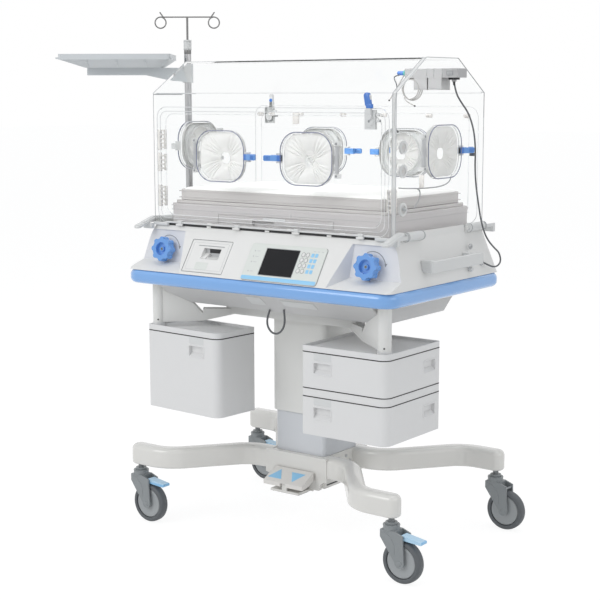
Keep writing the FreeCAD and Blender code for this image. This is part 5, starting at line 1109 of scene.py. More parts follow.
@dataclass
class Deck:
    """Deck housing, bumper, panel, knobs, handles, catches and drawer."""

    top: float = 955.0
    foot: float = 820.0
    front: float = -250.0
    run: float = 88.0
    knob_x: float = 382.0
    knob_z: float = 880.0
    knob_y: float = -262.3
    knob_up: tuple[float, float, float] = (0, 0.164, 0.986)
    panel: tuple[float, float, float, float] = (-33.0, 240.0, 38.0, 158.0)
    drawer: tuple[float, float, float, float] = (-268.0, -112.0, 41.8, 149.2)

    def on_fascia(self, p: Points) -> Points:
        """Carry points drawn as x, distance down the sloped fascia and height over it onto the fascia."""
        drop = self.top - self.foot
        slope = np.array([0.0, -self.run, -drop]) / math.hypot(self.run, drop)
        out = np.array([0.0, slope[2], -slope[1]])
        origin = np.array([0.0, self.front, self.top])
        return origin + p[..., :1] * np.array([1.0, 0, 0]) + p[..., 1:2] * slope + p[..., 2:3] * out

    def plate(self, x0: float, x1: float, d0: float, d1: float, low: float, high: float, r: float) -> Points:
        """Rounded plate on the fascia between two x and two distances down it."""
        soft = min(0.5, (high - low) * 0.45)
        flat = soft_plate((x1 - x0) / 2, (d1 - d0) / 2, r, low, high, soft, 6)
        return self.on_fascia(flat + np.array([(x0 + x1) / 2, (d0 + d1) / 2, 0]))

    def frame_line(self, x0: float, x1: float, d0: float, d1: float, h: float, r: float) -> Points:
        """Closed rounded outline on the fascia."""
        flat = ring_rect((x1 - x0) / 2, (d1 - d0) / 2, r, 8) + np.array([(x0 + x1) / 2, (d0 + d1) / 2])
        return self.on_fascia(raised(flat, h))

    def knob(self, side: int) -> None:
        """Hub, collar and centre screw of one tilt knob.

        Args:
            side: -1 for the left knob and 1 for the right one.
        """
        name = "left" if side < 0 else "right"
        body = "knob_" + name
        Node.soften("tilt_knob_" + name, Finishes.KNOB, 2.6, 3)
        centre = (side * self.knob_x, self.knob_y, self.knob_z)
        ex, ey = (1, 0, 0), self.knob_up
        hub = placed(lathe([(8.5, 24.0), (8.5, 30.5), (7.4, 31.8), (0.5, 32.0)], 32), centre, ex, ey)
        solid("knob_hub_" + name, Finishes.KNOB, body, hub, smooth=40)
        head = placed(lathe([(4.6, 31.0), (4.6, 32.6), (3.8, 33.4), (0.4, 33.6)], 24), centre, ex, ey)
        solid("knob_screw_" + name, Finishes.CASTER, body, head, smooth=40)
        solid("knob_screw_cross_" + name, Finishes.BLACK, body,
              *(placed(soft_plate(hx, hy, 0.3, 33.4, 34.1, 0.15, 3), centre, ex, ey)
                for hx, hy in ((2.8, 0.5), (0.5, 2.8))))
        ring = placed(lathe([(25.0, 10.6), (25.0, 11.8), (19.0, 11.9), (19.0, 10.6)], 48), centre, ex, ey)
        Surface().grid(ring, True, True).build("knob_collar_" + name, Finishes.KNOB, body, 40)

    def arrow(self, side: int) -> None:
        """Dark arc with a head, printed on the recess's back wall over the knob."""
        name = "left" if side < 0 else "right"
        a = np.radians(np.linspace(15, 118, 26))
        inner, outer = (r * np.stack([np.cos(a), np.sin(a)], -1) for r in (44.0, 46.4))
        low = np.stack([raised(ring, h) for ring, h in
                        ((inner, 0.0), (inner, 0.5), (outer, 0.5), (outer, 0.0))])
        centre = (side * self.knob_x, self.knob_y + 0.15, self.knob_z)
        mark = Surface().grid(placed(low, centre, (1, 0, 0), self.knob_up), closed=True)
        head = np.array([[41.0, 12.5], [50.0, 14.5], [44.6, 4.0]])
        tip = np.stack([raised(head, h) for h in (0.0, 0.5)])
        mark.rings(placed(tip, centre, (1, 0, 0), self.knob_up))
        mark.build("turn_arrow_" + name, Finishes.LINE, "lift")

    def controls(self) -> None:
        """Keys, strip, lamps and screen edge of the control panel."""
        Node.soften("control_panel", Finishes.PANEL, 0.8)
        Node.soften("display", Finishes.SCREEN, 0.3)
        x0, x1, d0, d1 = self.panel
        Surface().rings(self.plate(x0 + 1.2, x1 - 1.2, d1 - 13, d1 - 1.0, 3.6, 4.5, 4.0)).build(
            "panel_strip", Finishes.MARK, "lift")
        loop_line(self.frame_line(x0 - 0.3, x1 + 0.3, d0 - 0.3, d1 + 0.3, 0.4, 9.0), 0.7, "panel_seam",
                  Finishes.LINE, "lift")
        loop_line(self.frame_line(26.2, 147.8, 52.2, 139.8, 4.0, 2.0), 0.8, "screen_edge", Finishes.LINE, "lift")
        ovals, blues, lamps = Surface(), Surface(), Surface()
        rims = Surface()
        for row in range(4):
            d = 64 + 17.5 * row
            for column in range(2):
                x = 163 + 15.5 * column
                ovals.rings(self.plate(x - 5.4, x + 5.4, d - 6.4, d + 6.4, 3.8, 4.6, 5.2))
                rim = self.frame_line(x - 5.6, x + 5.6, d - 6.6, d + 6.6, 4.3, 5.4)
                rims.tube(rim, 0.75)
                x = 196 + 13.5 * column
                blues.rings(self.plate(x - 5.0, x + 5.0, d - 6.0, d + 6.0, 3.8, 4.8, 1.8))
        for x, d in ((-14, 64), (-14, 82), (-14, 100), (-14, 130)):
            lamps.rings(self.on_fascia(soft_disc(2.2, 3.6, 4.6, 0.4, 18) + np.array([x, d, 0])))
            lamps.rings(self.plate(x + 7, x + 19, d - 0.8, d + 0.8, 3.6, 4.3, 0.6))
        for x in (199, 213, 227):
            lamps.rings(self.plate(x - 4, x + 4, 50.4, 52.0, 3.6, 4.3, 0.6))
        ovals.build("panel_white_keys", Finishes.SHELL, "lift")
        rims.build("panel_key_rims", Finishes.LINE, "lift", 180)
        blues.build("panel_blue_keys", Finishes.MARK, "lift")
        lamps.build("panel_lamps", Finishes.FITTING, "lift")

    def reservoir(self) -> None:
        """Seam round the drawer, its slot line, and the lining and lip of its finger slot."""
        Node.soften("reservoir_drawer", Finishes.SHELL, 1.2)
        x0, x1, d0, d1 = self.drawer
        loop_line(self.frame_line(x0 - 1.2, x1 + 1.2, d0 - 1.2, d1 + 1.2, -0.1, 4.0), 0.8, "drawer_seam",
                  Finishes.LINE, "lift")
        loop_line(self.frame_line(x0 + 9, x1 - 9, d0 + 8, d1 - 8, 0.05, 5.0), 0.35, "drawer_inner_seam",
                  Finishes.FITTING, "drawer")
        solid("drawer_blank_label", Finishes.PANEL, "drawer",
              self.plate(x0 + 44, x0 + 92, d1 - 33, d1 - 9, -0.3, 0.4, 2.0))
        solid("drawer_slot_line", Finishes.LINE, "drawer",
              self.plate(x0 + 30, x1 - 24, d0 + 17, d0 + 19.2, -0.3, 0.5, 0.9))
        solid("grip_lining", Finishes.FITTING, "drawer",
              brick((-212.8, -277.6, 869.5), (-147.2, -276.2, 896.6), 0.3, 0.4))
        solid("grip_shadow", Finishes.BLACK, "drawer", brick((-198, -279.6, 884), (-153, -277.4, 895.5), 0.8, 1.0))
        wedges = [np.array([[(x, -306.0, 868.4), (x, -277.6, 868.4), (x, -277.6, top)] for x in span], float)
                  for top, span in ((884.0, (-213.6, -196.0)), (873.0, (-196.0, -146.4)))]
        solid("grip_ramp", Finishes.SHELL, "drawer", *wedges)

    def catches(self) -> None:
        """Dark gaps of the corner catches, and the front ones' tongues and the hood's rests for them."""
        for corner, sx, sy in (("front_left", -1, -1), ("front_right", 1, -1),
                               ("rear_left", -1, 1), ("rear_right", 1, 1)):
            Node.soften("corner_catch_" + corner, Finishes.HANDLE, 2.2, 3)
            solid("catch_grooves_" + corner, Finishes.LINE, "catch_" + corner,
                  *(rod((sx * 463, sy * y, 966), (sx * 463, sy * (y + wide), 966), 13.8, 0.2, 32)
                    for y, wide in ((133.0, 2.6), (213.0, 1.6), (219.0, 1.6))))
            if sy > 0:
                continue
            tongue = Surface()
            for hx, hy, low, high in ((47.0, 13.5, -4.0, 4.0), (40.0, 9.0, 4.0, 5.4)):
                plate = soft_plate(hx, hy, hy - 3.0, low, high, 0.9 if low > 0 else 2.2, 8)
                tongue.rings(placed(plate, (sx * 462, -279, 964), (0, -0.954, -0.30), (1, 0, 0)))
            tongue.build("catch_tongue_" + corner, Finishes.HANDLE, "catch_" + corner)
            solid("catch_rest_" + corner, Finishes.HANDLE, HOOD,
                  brick((sx * 388, -260.5, 955.8), (sx * 447, -249.3, 965.0), 1.4, 3.0))

    def side_fittings(self) -> None:
        """Handles, with the button, the small knob and the socket's collar on the right side."""
        Node.soften("side_handles", Finishes.HANDLE, 3.0, 3)
        ex, ey = (0, 1, 0), (0, 0, 1)
        for name, finish, place, profile in (
            ("side_button", Finishes.FITTING, (478.5, 118, 912),
             [(9, 0), (9, 3), (7.6, 4.6), (3.2, 4.8), (3.0, 8.0), (0.4, 8.6)]),
            ("side_knob", Finishes.HANDLE, (487.0, 104, 846), [(7, 0), (7.6, 5), (6.6, 9), (4.0, 10.6), (0.4, 11.0)]),
        ):
            solid(name, finish, "lift", placed(lathe(profile, 28), place, ex, ey), smooth=40)
        collar = placed(lathe([(11.5, 0.0), (11.5, 1.6), (10.6, 2.4), (8.3, 2.4), (8.3, 0.0)], 32),
                        (482.8, 180, 860), ex, ey)
        Surface().grid(collar, True, True).build("socket_collar", Finishes.FITTING, "lift", 40)

    def build(self) -> None:
        """Dress the deck's solids and add its details."""
        drop = self.top - self.foot

        def recess(c: Points) -> Points:
            """Faces behind the fascia's plane at the two ends: the knobs' recesses, which take a painted blue-grey
            shade.
            """
            behind = (c[:, 1] - self.front) + (self.top - c[:, 2]) * self.run / drop
            ends = (np.abs(c[:, 0]) > 255) & (np.abs(c[:, 0]) < 452)
            return (behind > 1.0) & ends & (c[:, 2] > 820.5) & (c[:, 2] < 944) & (c[:, 1] < -250.5)

        # The recess faces take the darker blue-grey copy of the shell: painted shade.
        Node.soften("deck_housing", Finishes.SHELL, 2.5, 3, parts=[(Finishes.RECESS_SHADE, recess)])
        Node.soften("bumper", Finishes.BLUE, 0.0)
        for side in (-1, 1):
            self.knob(side)
            self.arrow(side)
        self.controls()
        self.reservoir()
        self.catches()
        self.side_fittings()


@dataclass
class Hood:
    """Clear hood and front door with their edge lines, latches, side fittings and sensor module."""

    half: float = 449.0
    front: float = -247.0
    rear: float = 239.0
    foot: float = 956.0
    shoulder: float = 1364.0
    top: float = 1462.5
    flat: tuple[float, float] = (-92.0, 84.0)
    door_half: float = 430.0
    door_low: float = 966.0
    door_high: float = 1322.0
    door_face: float = -252.6
    latch_x: float = 372.0
    end_band: float = 12.0

    @property
    def out_all(self) -> Points:
        """Steps of about a millimetre away from the hood at the corners of an end panel's outline."""
        return np.array([(0, -1, 0), (0, -1, 0.5), (0, -0.4, 1), (0, 0.4, 1), (0, 1, 0.5), (0, 1, 0)], float)

    @property
    def out(self) -> Points:
        """The same steps at the corners from the front foot to the roof."""
        return self.out_all[:4]

    def end_path(self, x: float) -> Points:
        """Outline of an end panel from the front foot over the roof to the rear foot."""
        ends = [
            (self.front, self.foot), (self.front, self.shoulder), (self.flat[0], self.top),
            (self.flat[1], self.top), (self.rear, self.shoulder), (self.rear, self.foot)]
        return np.array([(x, y, z) for y, z in ends], float)

    def edges(self) -> None:
        """Free edges and bends of the sheet, seen as thin tinted lines: painted highlights and shade for the light that
        the acrylic reflects and refracts there.
        """
        body = HOOD
        right = self.end_path(self.half + 0.2)
        low = right[-1] * (1, 1, 0) + (0, 0, 1290)
        line(right[:4] + self.out, 1.1, "end_edge_right_front", Finishes.EDGE, body)
        line(np.stack([*right[3:5], low]), 1.3, "end_edge_right_rear", Finishes.LINE_CLEAR, body)
        line(np.stack([low, right[-1]]), 1.1, "end_edge_right_low", Finishes.EDGE, body)
        inner = self.end_path(self.half - self.end_band) + self.out_all
        line(inner[:3], 1.0, "end_edge_right_inner", Finishes.EDGE, body)
        # Pale half-clear strip along the right end's front outline: painted glint on the sheet's corner.
        outer = self.end_path(self.half) + self.out_all
        strip = np.stack([inner[:3], outer[:3], outer[:3] - 0.5 * self.out[:3], inner[:3] - 0.5 * self.out[:3]], 1)
        Surface().rings(strip).build("end_band_painted_glint_right", Finishes.BAND, body)
        line(self.end_path(-self.half)[:4] + self.out_all[:4], 1.0, "end_edge_left", Finishes.EDGE, body)
        for name, y, z, r, finish in (
            ("roof_front", self.flat[0] - 1.2, self.top - 0.2, 1.0, Finishes.HAIR),
            ("roof_rear", self.flat[1], self.top + 1.0, 1.1, Finishes.EDGE),
            ("shoulder_front", self.front - 0.8, self.shoulder, 0.8, Finishes.HAIR),
            ("shoulder_rear", self.rear + 0.8, self.shoulder, 0.8, Finishes.HAIR),
            ("sill_front", self.front - 0.8, self.foot + 1, 1.0, Finishes.HAIR),
            ("sill_rear", self.rear + 0.8, self.foot + 1, 1.0, Finishes.HAIR),
        ):
            path = np.array([(-self.half + 1, y, z), (self.half - 1, y, z)], float)
            line(path, r, "bend_" + name, finish, body, 8)
        # Short dark stroke at the left shoulder: painted shade.
        short = np.array([(-self.half + 2, self.front - 0.9, self.shoulder - 4), (-330, self.front - 0.9, 1360)])
        line(short, 1.3, "bend_shoulder_end", Finishes.LINE_CLEAR, body, 8)

    def panel_lines(self) -> None:
        """Outlines of the front door, of the doorway behind it and of the matching rear panel, as pale lines: painted
        highlights on the clear sheets' edges.
        """
        for name, hx, low, high, r, y, body in (
            ("door_edge", self.door_half, self.door_low, self.door_high, 34.0, self.door_face - 0.4,
             "front_door_body"),
            ("door_inner", self.door_half - 13, self.door_low + 13, self.door_high - 13, 24.0,
             self.door_face - 0.4, "front_door_body"),
            ("doorway", 401.0, 989.0, 1301.0, 30.0, self.front + 2.0, HOOD),
            ("rear_panel", self.door_half, self.door_low, self.door_high, 34.0, self.rear + 0.4, HOOD),
            ("rear_doorway", 401.0, 989.0, 1301.0, 30.0, self.rear - 4.6, HOOD),
        ):
            flat = ring_rect(hx, (high - low) / 2, r, 8)
            path = np.column_stack([flat[:, 0], np.full(len(flat), y), flat[:, 1] + (low + high) / 2])
            loop_line(path, 0.9, name + "_line", Finishes.HAIR, body, 8)

    def corner_blocks(self) -> None:
        """Ribbed clear blocks inside the front corners, and the small clips and plates along the rear panel."""
        blocks = Surface()
        for side, low, high in ((-1, 1188, 1252), (-1, 1122, 1180), (-1, 1012, 1080), (1, 1031, 1100)):
            blocks.rings(brick((side * 443.5, -241.5, low), (side * 428.0, -233, high), 1.0, 2.0))
            for z in np.arange(low + 7, high - 4, 13.0):
                blocks.rings(brick((side * 442.5, -239.5, z), (side * 414.0, -229, z + 5), 0.8, 2.0))
            blocks.rings(brick((side * 418.0, -237.5, low + 3), (side * 413.0, -231, high - 3), 0.8, 1.5))
        blocks.build("corner_blocks", Finishes.BLOCK, HOOD)
        clips = Surface()
        for x in (-400, -352, -232, -60, 40, 96, 262, 396):
            clips.rings(brick((x - 11, 226.5, 1288), (x + 11, 233.4, 1300), 1.5, 3.0))
            clips.rings(rod((x - 5, 228, 1294), (x - 5, 220.5, 1294), 3.6, 0.8, 16))
        for x0, x1, low, high in ((-266, -240, 1262, 1300), (227, 245, 1066, 1110)):
            clips.rings(brick((x0, 229.5, low), (x1, 233.2, high), 1.2, 6.0))
        clips.build("rear_clips", Finishes.BLOCK, HOOD)

    def tube_discs(self) -> None:
        """Ribbed faces of the three tube grommets on the right end, with a short hose stub in the lowest."""
        discs = Surface()
        for z in (1043.0, 1149.0, 1215.0):
            rings = [(r, h) for r, h in (
                (17.0, 0.0), (17.0, 1.6), (15.6, 2.2), (14.4, 1.2), (12.6, 1.2), (11.4, 2.6), (9.8, 2.6), (8.6, 1.4),
                (6.8, 1.4), (5.6, 3.0), (0.6, 3.2))]
            discs.rings(placed(lathe(rings, 40), (449.6, -216, z), (0, 1, 0), (0, 0, 1)))
        discs.build("tube_disc_ribs", Finishes.BLOCK, HOOD, 40)
        solid("tube_stub", Finishes.FITTING, HOOD,
              rod((452, -216, 1043), (466, -216, 1043), 4.2, 1.0, 20))

    def latches(self) -> None:
        """Ribs, cheeks and screw heads of the door latches' fixed housings."""
        for label, side, y, out, body, blue in (
            ("front", 1, self.door_face, -1, "front_door_body", 1329.0),
            ("rear", -1, self.rear, 1, HOOD, 1336.0),
        ):
            Node.soften("door_latch_" + label, Finishes.HANDLE if side > 0 else Finishes.FROST, 1.4, 3)
            parts, dark, tip = Surface(), Surface(), Surface()
            x = side * self.latch_x
            for dz in (-30, -24, -18):
                parts.rings(brick((x - 13, y + out * 10.6, 1300 + dz), (x + 13, y + out * 12.6, 1303 + dz), 0.6, 1.0))
            for wide, low, high in ((31, 1284, 1292), (29, 1300, 1307)):
                parts.rings(brick((x + 17, y + out * 1.0, low), (x + wide, y + out * 8.5, high), 1.0, 2.0))
            parts.rings(rod((x - 1, y + out * 1, 1286), (x - 1, y + out * 13.5, 1286), 14.0, 1.8, 32))
            dark.tube(raised(ring_circle(15.0, 40) + (x - 1, 1286), y + out * 8.0)[:, [0, 2, 1]], 1.4)
            dark.rings(rod((x - 1, y + out * 13, 1286), (x - 1, y + out * 14.3, 1286), 3.0, 0.4, 18))
            dark.rings(rod((x + 31, y + out * 3, 1288), (x + 31, y + out * 8, 1288), 2.4, 0.4, 16))
            turn = (x, y + out * 15.6, blue)
            half, tall = (9.8, 20.0) if side > 0 else (7.0, 6.5)
            blade = soft_plate(half, tall, half - 1.0, -4.8, 4.8, 1.8, 8) + np.array([0.0, tall - 3.0, 0.0])
            tip.rings(placed(blade, turn, (0.985, 0, 0.174), (-0.174, 0, 0.985)))
            if side > 0:
                tip.rings(brick((x - 7, y - 21.0, blue - 7), (x + 14, y - 11.5, blue + 5), 1.6, 3.0))
            root = placed(soft_plate(8.6, 13.0, 5.0, -4.3, 4.3, 1.4, 6) + (0, -13.0, 0), turn, (1, 0, 0), (0, 0, 1))
            root = Surface().rings(root)
            root.build("latch_root_" + label, Finishes.HANDLE if side > 0 else Finishes.FROST, "latch_" + label)
            parts.build("latch_housing_" + label, Finishes.HANDLE, body)
            dark.build("latch_screws_" + label, Finishes.LINE, body)
            tip.build("latch_tip_" + label, Finishes.LATCH, "latch_" + label)

    def sill(self) -> None:
        """Black gasket along the hood's front foot, with the white clips' caps over it."""
        solid("sill_gasket", Finishes.BLACK, HOOD,
              brick((-428, -249.2, 955.7), (428, -247.1, 964.5), 0.6, 0.8))
        solid("sill_clip_caps", Finishes.SHELL, HOOD,
              *(brick((x - 13, -261.8, 957.0), (x + 13, -258.7, 963.0), 1.0, 1.5) for x in (-339, -112, 112, 339)),
              *(brick((x - 8, -252.2, 956.0), (x + 8, -249.0, 961.0), 1.0, 1.5) for x in (-226, 0, 226)))

    def module(self) -> None:
        """Details of the sensor module: connector sleeve and plug, cable boot, seams and vents."""
        body = HOOD
        Node.soften("sensor_module", Finishes.MODULE, 1.6, 3)
        solid("module_sleeve", Finishes.TEAL, body,
              rod((297, 30, 1420), (316, 30, 1420), 8.0, 1.4, 28),
              *(rod((299 + 3.4 * i, 30, 1420), (300.6 + 3.4 * i, 30, 1420), 8.7, 0.4, 28) for i in range(5)))
        Surface().rings(rod((276, 30, 1420), (298, 30, 1420), 6.4, 1.6, 28)).build("module_plug", Finishes.LATCH, body)
        boot = Surface().rings(brick((454, 17, 1401), (480, 43, 1407.2), 1.4, 4.0))
        boot.rings(placed(lathe([(6.0, 0.0), (6.0, 3.0), (4.4, 5.0), (3.4, 10.0), (2.9, 16.0)], 24),
                          (467, 30, 1401.5), (1, 0, 0), (0, -1, 0)))
        boot.build("module_boot", Finishes.BLACK, body)
        solid("module_seams", Finishes.LINE, body,
              *(brick((x, 4.3, 1407.5), (x + 1.6, 55.7, 1433.4), 0.3, 0.5) for x in (388, 412, 440)),
              *(brick((x, 4.5, 1376), (x + 36, 5.2, 1377), 0.2, 0.2) for x in (350, 398)),
              brick((456, 4.4, 1413), (478, 5.2, 1426), 0.3, 0.6))
        solid("module_grille", Finishes.FITTING, body,
              *(brick((459 + 3.6 * i, 3.6, 1414.5), (460.6 + 3.6 * i, 4.6, 1424.5), 0.2, 0.3) for i in range(5)))
        solid("cable_tab", Finishes.LATCH, "port_end_right",
              brick((463.5, 104, 1189.5), (470.5, 132, 1204.5), 1.4, 2.0),
              brick((462, 124, 1188), (473, 141, 1206), 1.6, 2.5))
        solid("cable_clip", Finishes.CABLE, "port_end_right", brick((464, 128, 1179), (479, 141.8, 1188.6), 1.4, 3.0))

    def build(self) -> None:
        """Dress the hood's solids and add its details."""
        def fitting(c: Points) -> Points:
            """Faces that stand out beyond the sheet: rings, lugs, clips and knuckles."""
            return (np.abs(c[:, 0]) > self.half + 0.4) | (c[:, 1] > self.rear + 0.4) | (c[:, 1] < self.front - 0.4)

        def housing(c: Points) -> Points:
            """Faces of the latch housings."""
            side = np.where(c[:, 1] > 0, -1, 1)
            return (np.abs(c[:, 0] * side - self.latch_x) < 17.2) & (c[:, 2] > 1272.0) & (c[:, 2] < 1318.2)

        Node.soften("canopy", Finishes.CLEAR, 0.0, parts=[
            (Finishes.FROST, fitting), (Finishes.HANDLE, lambda c: housing(c) & (c[:, 1] > self.rear + 0.4))])
        Node.soften("front_door", Finishes.CLEAR, 0.0, parts=[
            (Finishes.FROST, lambda c: c[:, 1] < self.door_face - 0.2),
            (Finishes.HANDLE, lambda c: housing(c) & (c[:, 1] < self.door_face - 0.2))])
        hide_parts("hood_cuffs")
        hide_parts("front_cuffs")
        Ports().build()
        self.edges()
        self.panel_lines()
        self.corner_blocks()
        self.tube_discs()
        self.latches()
        self.sill()
        self.module()


@dataclass
class Bed:
    """Bed box, cradle, tray and mattress."""

    half: float = 381.5
    front: float = -196.5
    rear: float = 206.5
    low: float = 1039.0
    high: float = 1076.9
    corner: float = 26.0
    soft: float = 9.0

    def mattress(self) -> None:
        """Mattress: a rounded box drawn as a net of rings from the side seam up to the middle.

        The top is crowned, 4 mm lower at the rim than in the middle, with shallow dents: products of slow sine
        waves of x and y, under 0.6 mm.
        """
        hx, hy = self.half, (self.rear - self.front) / 2
        middle = np.array([0.0, (self.rear + self.front) / 2, 0.0])
        rings = []
        for t in np.linspace(0, math.pi / 2, 6):
            inset = self.soft * (1 - math.sin(t))
            flat = ring_rect(hx - inset, hy - inset, self.corner - inset * 0.6, 12)
            rings.append(raised(flat, self.low + self.soft * (1 - math.cos(t))))
        rim = self.high - 5.0
        for t in np.linspace(0, math.pi / 2, 6):
            inset = self.soft * (1 - math.cos(t))
            flat = ring_rect(hx - inset, hy - inset, self.corner - inset * 0.6, 12)
            rings.append(raised(flat, rim - self.soft * (1 - math.sin(t))))
        edge = rings[-1]
        for share in np.linspace(0.97, 0.04, 22):
            p = edge.copy()
            p[:, :2] *= share
            x, y = p[:, 0], p[:, 1]
            crown = 4.0 * (1 - share**4)
            dents = 0.6 * np.sin(x / 61) * np.sin(y / 47 + x / 140) * (1 - share**6)
            p[:, 2] = rim + crown + dents
            rings.append(p)
        pad = Surface().rings(np.stack(rings) + middle).build("mattress_pad", Finishes.SHEET, "tray", 60)
        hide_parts("mattress")
        seam_flat = ring_rect(hx + 0.1, hy + 0.1, self.corner, 12)
        for i, z in enumerate((self.low + 10, rim - 8.5)):
            path = raised(seam_flat, z) + middle
            loop_line(path, 1.1, f"mattress_piping_{i}", Finishes.SHEET, "tray", 8)

    def lines(self) -> None:
        """Ridges and grooves along the tray's and the bed box's sides, and the dark gap under the box."""
        for name, hx, y0, y1, z, r, finish, body in (
            ("tray_ridge_high", 388.2, -203.2, 213.2, 1060.5, 1.0, Finishes.TRAY, "tray"),
            ("tray_ridge_low", 388.2, -203.2, 213.2, 1041.0, 1.2, Finishes.TRAY, "tray"),
            ("box_ridge", 410.1, -215.1, 225.1, 1016.0, 0.9, Finishes.BED, "lift"),
            ("box_groove", 410.05, -215.05, 225.05, 1003.0, 0.45, Finishes.LINE, "lift"),
            ("box_foot", 411.0, -216.0, 226.0, 957.0, 1.6, Finishes.BLACK, "lift"),
        ):
            flat = ring_rect(hx, (y1 - y0) / 2, 3.0, 4) + np.array([0.0, (y0 + y1) / 2])
            loop_line(raised(flat, z), r, name, finish, body, 8)
        solid("cassette_notch", Finishes.FITTING, "lift",
              brick((62.0, -216.0, 996.5), (63.2, -214.8, 1014.0), 0.2, 0.3),
              brick((-42, -216.6, 985), (42, -215.2, 994), 0.6, 1.0))
        solid("box_feet", Finishes.SHELL, "lift",
              *(brick((x - 9, -219.0, 955.2), (x + 9, -215.2, 966.0), 0.8, 1.5) for x in (-250, 60, 250)))

    def build(self) -> None:
        """Dress the bed."""
        Node.soften("bed_base", Finishes.BED, 1.5)
        Node.soften("tilt_cradle", Finishes.TRAY, 1.0)
        Node.soften("mattress_tray", Finishes.TRAY, 1.2)
        self.mattress()
        self.lines()


@dataclass(frozen=True)
class Bin:
    """One bin: its box, its top, its turn about its pivot and the middles of its pulls."""

    name: str
    node: str
    body: str
    x: tuple[float, float]
    y: tuple[float, float]
    z: tuple[float, float]
    pulls: tuple[tuple[float, float], ...]
    side_pull: tuple[float, float] | None = None
    turn: float = 0.0
    pivot: tuple[float, float] = (0.0, 0.0)

    def at(self, p: Points) -> Points:
        """Turn points about the bin's pivot."""
        a = math.radians(self.turn)
        q = p.copy()
        x, y = p[..., 0] - self.pivot[0], p[..., 1] - self.pivot[1]
        q[..., 0] = self.pivot[0] + x * math.cos(a) - y * math.sin(a)
        q[..., 1] = self.pivot[1] + x * math.sin(a) + y * math.cos(a)
        return q


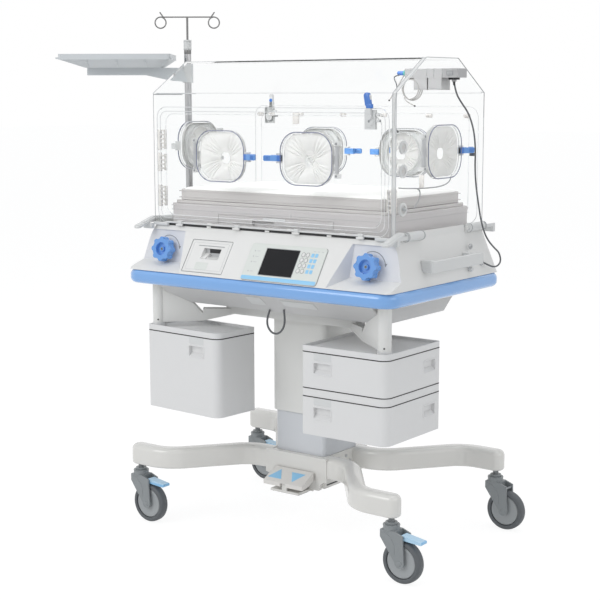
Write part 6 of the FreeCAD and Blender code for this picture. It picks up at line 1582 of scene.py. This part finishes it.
@dataclass
class Storage:
    """Bins and their lids."""

    corner: float = 28.0
    edge: float = 9.0
    pull_half: tuple[float, float] = (31.0, 17.0)
    bins: tuple[Bin, ...] = (
        Bin("right_upper", "right_bin_upper", "bin_right_upper", (160, 455), (-295, -5), (518, 622),
            ((234, 577),), (-67, 577)),
        Bin("right_lower", "right_bin_lower", "bin_right_lower", (160, 455), (-295, -5), (378, 490),
            ((234, 445),), (-67, 445)),
        Bin("left", "left_bin", "bin_left", (-450, -145), (-290, -119), (378, 622),
            ((-235.5, 577),), None, -4.0, (-426, -262)),
    )

    def gasket(self, box: Bin) -> None:
        """Black gasket between the bin's rim and its lid, and under the upper bin."""
        hx, hy = (box.x[1] - box.x[0]) / 2 - 1.2, (box.y[1] - box.y[0]) / 2 - 1.2
        radii = np.array([self.edge, self.edge, self.edge, self.corner])
        flat = ring_rect(hx, hy, radii, 10) + np.array([(box.x[0] + box.x[1]) / 2, (box.y[0] + box.y[1]) / 2])
        section = ring_rect(2.0, 1.42, 0.5, 3)
        seal = Surface()
        for z in (box.z[1] + 1.45, box.z[0] - 1.45) if box.name == "right_upper" else (box.z[1] + 1.45,):
            path = raised(flat, z)
            seal.grid(box.at(sweep(path, section, True)), True, True)
        seal.build("bin_gasket_" + box.name, Finishes.BLACK, box.body)

    def pull(self, box: Bin, number: int, centre: tuple[float, float, float], side: bool) -> None:
        """Raised frame, sloped foot and blank label of one pull.

        Args:
            box: the bin.
            number: the pull's number.
            centre: the middle of its opening on the bin's face.
            side: whether it is on the bin's side instead of its front.
        """
        hx, hz = self.pull_half
        ex = (0, 1, 0) if side else (1, 0, 0)

        def on_face(p: Points) -> Points:
            """Place points drawn with z outwards on the face."""
            return box.at(placed(p, centre, ex, (0, 0, 1)))

        tag = f"{box.name}_{number}"
        frame_path = raised(ring_rect(hx + 1.0, hz + 1.0, 5.0, 6), 0.2)
        section = ring_rect(1.9, 1.4, 1.0, 4)
        rim = Surface().grid(on_face(sweep(frame_path, section, True)), True, True)
        wedge = np.array([(-hz + 0.3, 0.9), (-hz + 12.0, -10.6), (-hz + 0.3, -10.6)])
        ends = [np.column_stack([np.full(3, u), wedge]) for u in (-hx + 0.3, hx - 0.3)]
        rim.rings(on_face(np.stack(ends)))
        rim.build("pull_frame_" + tag, Finishes.BIN, box.body)
        if not side:
            face = soft_plate(31.0, 11.0, 1.5, -0.1, 0.35, 0.15, 4) + np.array([1.0, hz + 17.0, 0])
            Surface().rings(on_face(face)).build("blank_label_" + tag, Finishes.HANDLE, box.body)

    def build(self) -> None:
        """Dress the bins."""
        for box in self.bins:
            Node.soften(box.node, Finishes.BIN, 0.9)
            self.gasket(box)
            for number, (x, z) in enumerate(box.pulls):
                self.pull(box, number, (x, box.y[0], z), False)
            if box.side_pull:
                self.pull(box, len(box.pulls), (box.x[1], box.side_pull[0], box.side_pull[1]), True)
        Node.soften("bin_lids", Finishes.BIN, 1.5)


@dataclass
class Pole:
    """Infusion pole, hook and shelf."""

    x: float = -555.0
    y: float = 37.0
    azimuth: float = 216.7

    def directions(self) -> tuple[Points, Points]:
        """Direction from the pole along the shelf, and the one across it."""
        a = math.radians(self.azimuth)
        return np.array([math.cos(a), math.sin(a), 0.0]), np.array([-math.sin(a), math.cos(a), 0.0])

    def build(self) -> None:
        """Dress the pole."""
        Node.soften("infusion_pole", Finishes.POLE, 0.6, parts=[
            (Finishes.HANDLE, lambda c: (c[:, 2] > 1505.5) | (c[:, 0] > -543.2))])
        Node.soften("infusion_hook", Finishes.DARK_STEEL, 0.0)
        along, across = self.directions()
        clamp = Surface()
        Node.soften("instrument_shelf", Finishes.SHELF, 1.6, 2, parts=[
            (Finishes.FROST, lambda c: np.hypot(c[:, 0] - self.x, c[:, 1] - self.y) < 21.5)])
        for z in (1410.0, 1445.0):
            head = placed(lathe([(4.6, 0), (4.6, 3.0), (3.6, 4.2), (0.4, 4.4)], 20),
                          (self.x, self.y, z) - across * 17.2, along, (0, 0, 1))
            clamp.rings(head)
        clamp.build("shelf_clamp_screws", Finishes.FITTING, "shelf", 40)
        solid("pole_dark_sleeve", Finishes.DARK_STEEL, "lift",
              rod((self.x, self.y, 1492), (self.x, self.y, 1504.4), 11.8, 0.3, 40))
        solid("collar_rings", Finishes.LINE, "lift",
              *(rod((self.x, self.y, z), (self.x, self.y, z + 1.2), 13.3, 0.3, 40) for z in (1507.0, 1531.0)))


def main() -> None:
    """Build every sub-assembly round the frame."""
    logging.basicConfig(level=logging.INFO, format="%(name)s: %(message)s")
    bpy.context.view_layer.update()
    Studio().build()
    Cables().build()
    for part in (Stand(), Deck(), Hood(), Bed(), Storage(), Pole()):
        LOG.info("building %s", type(part).__name__)
        part.build()


if __name__ == "__main__":
    main()
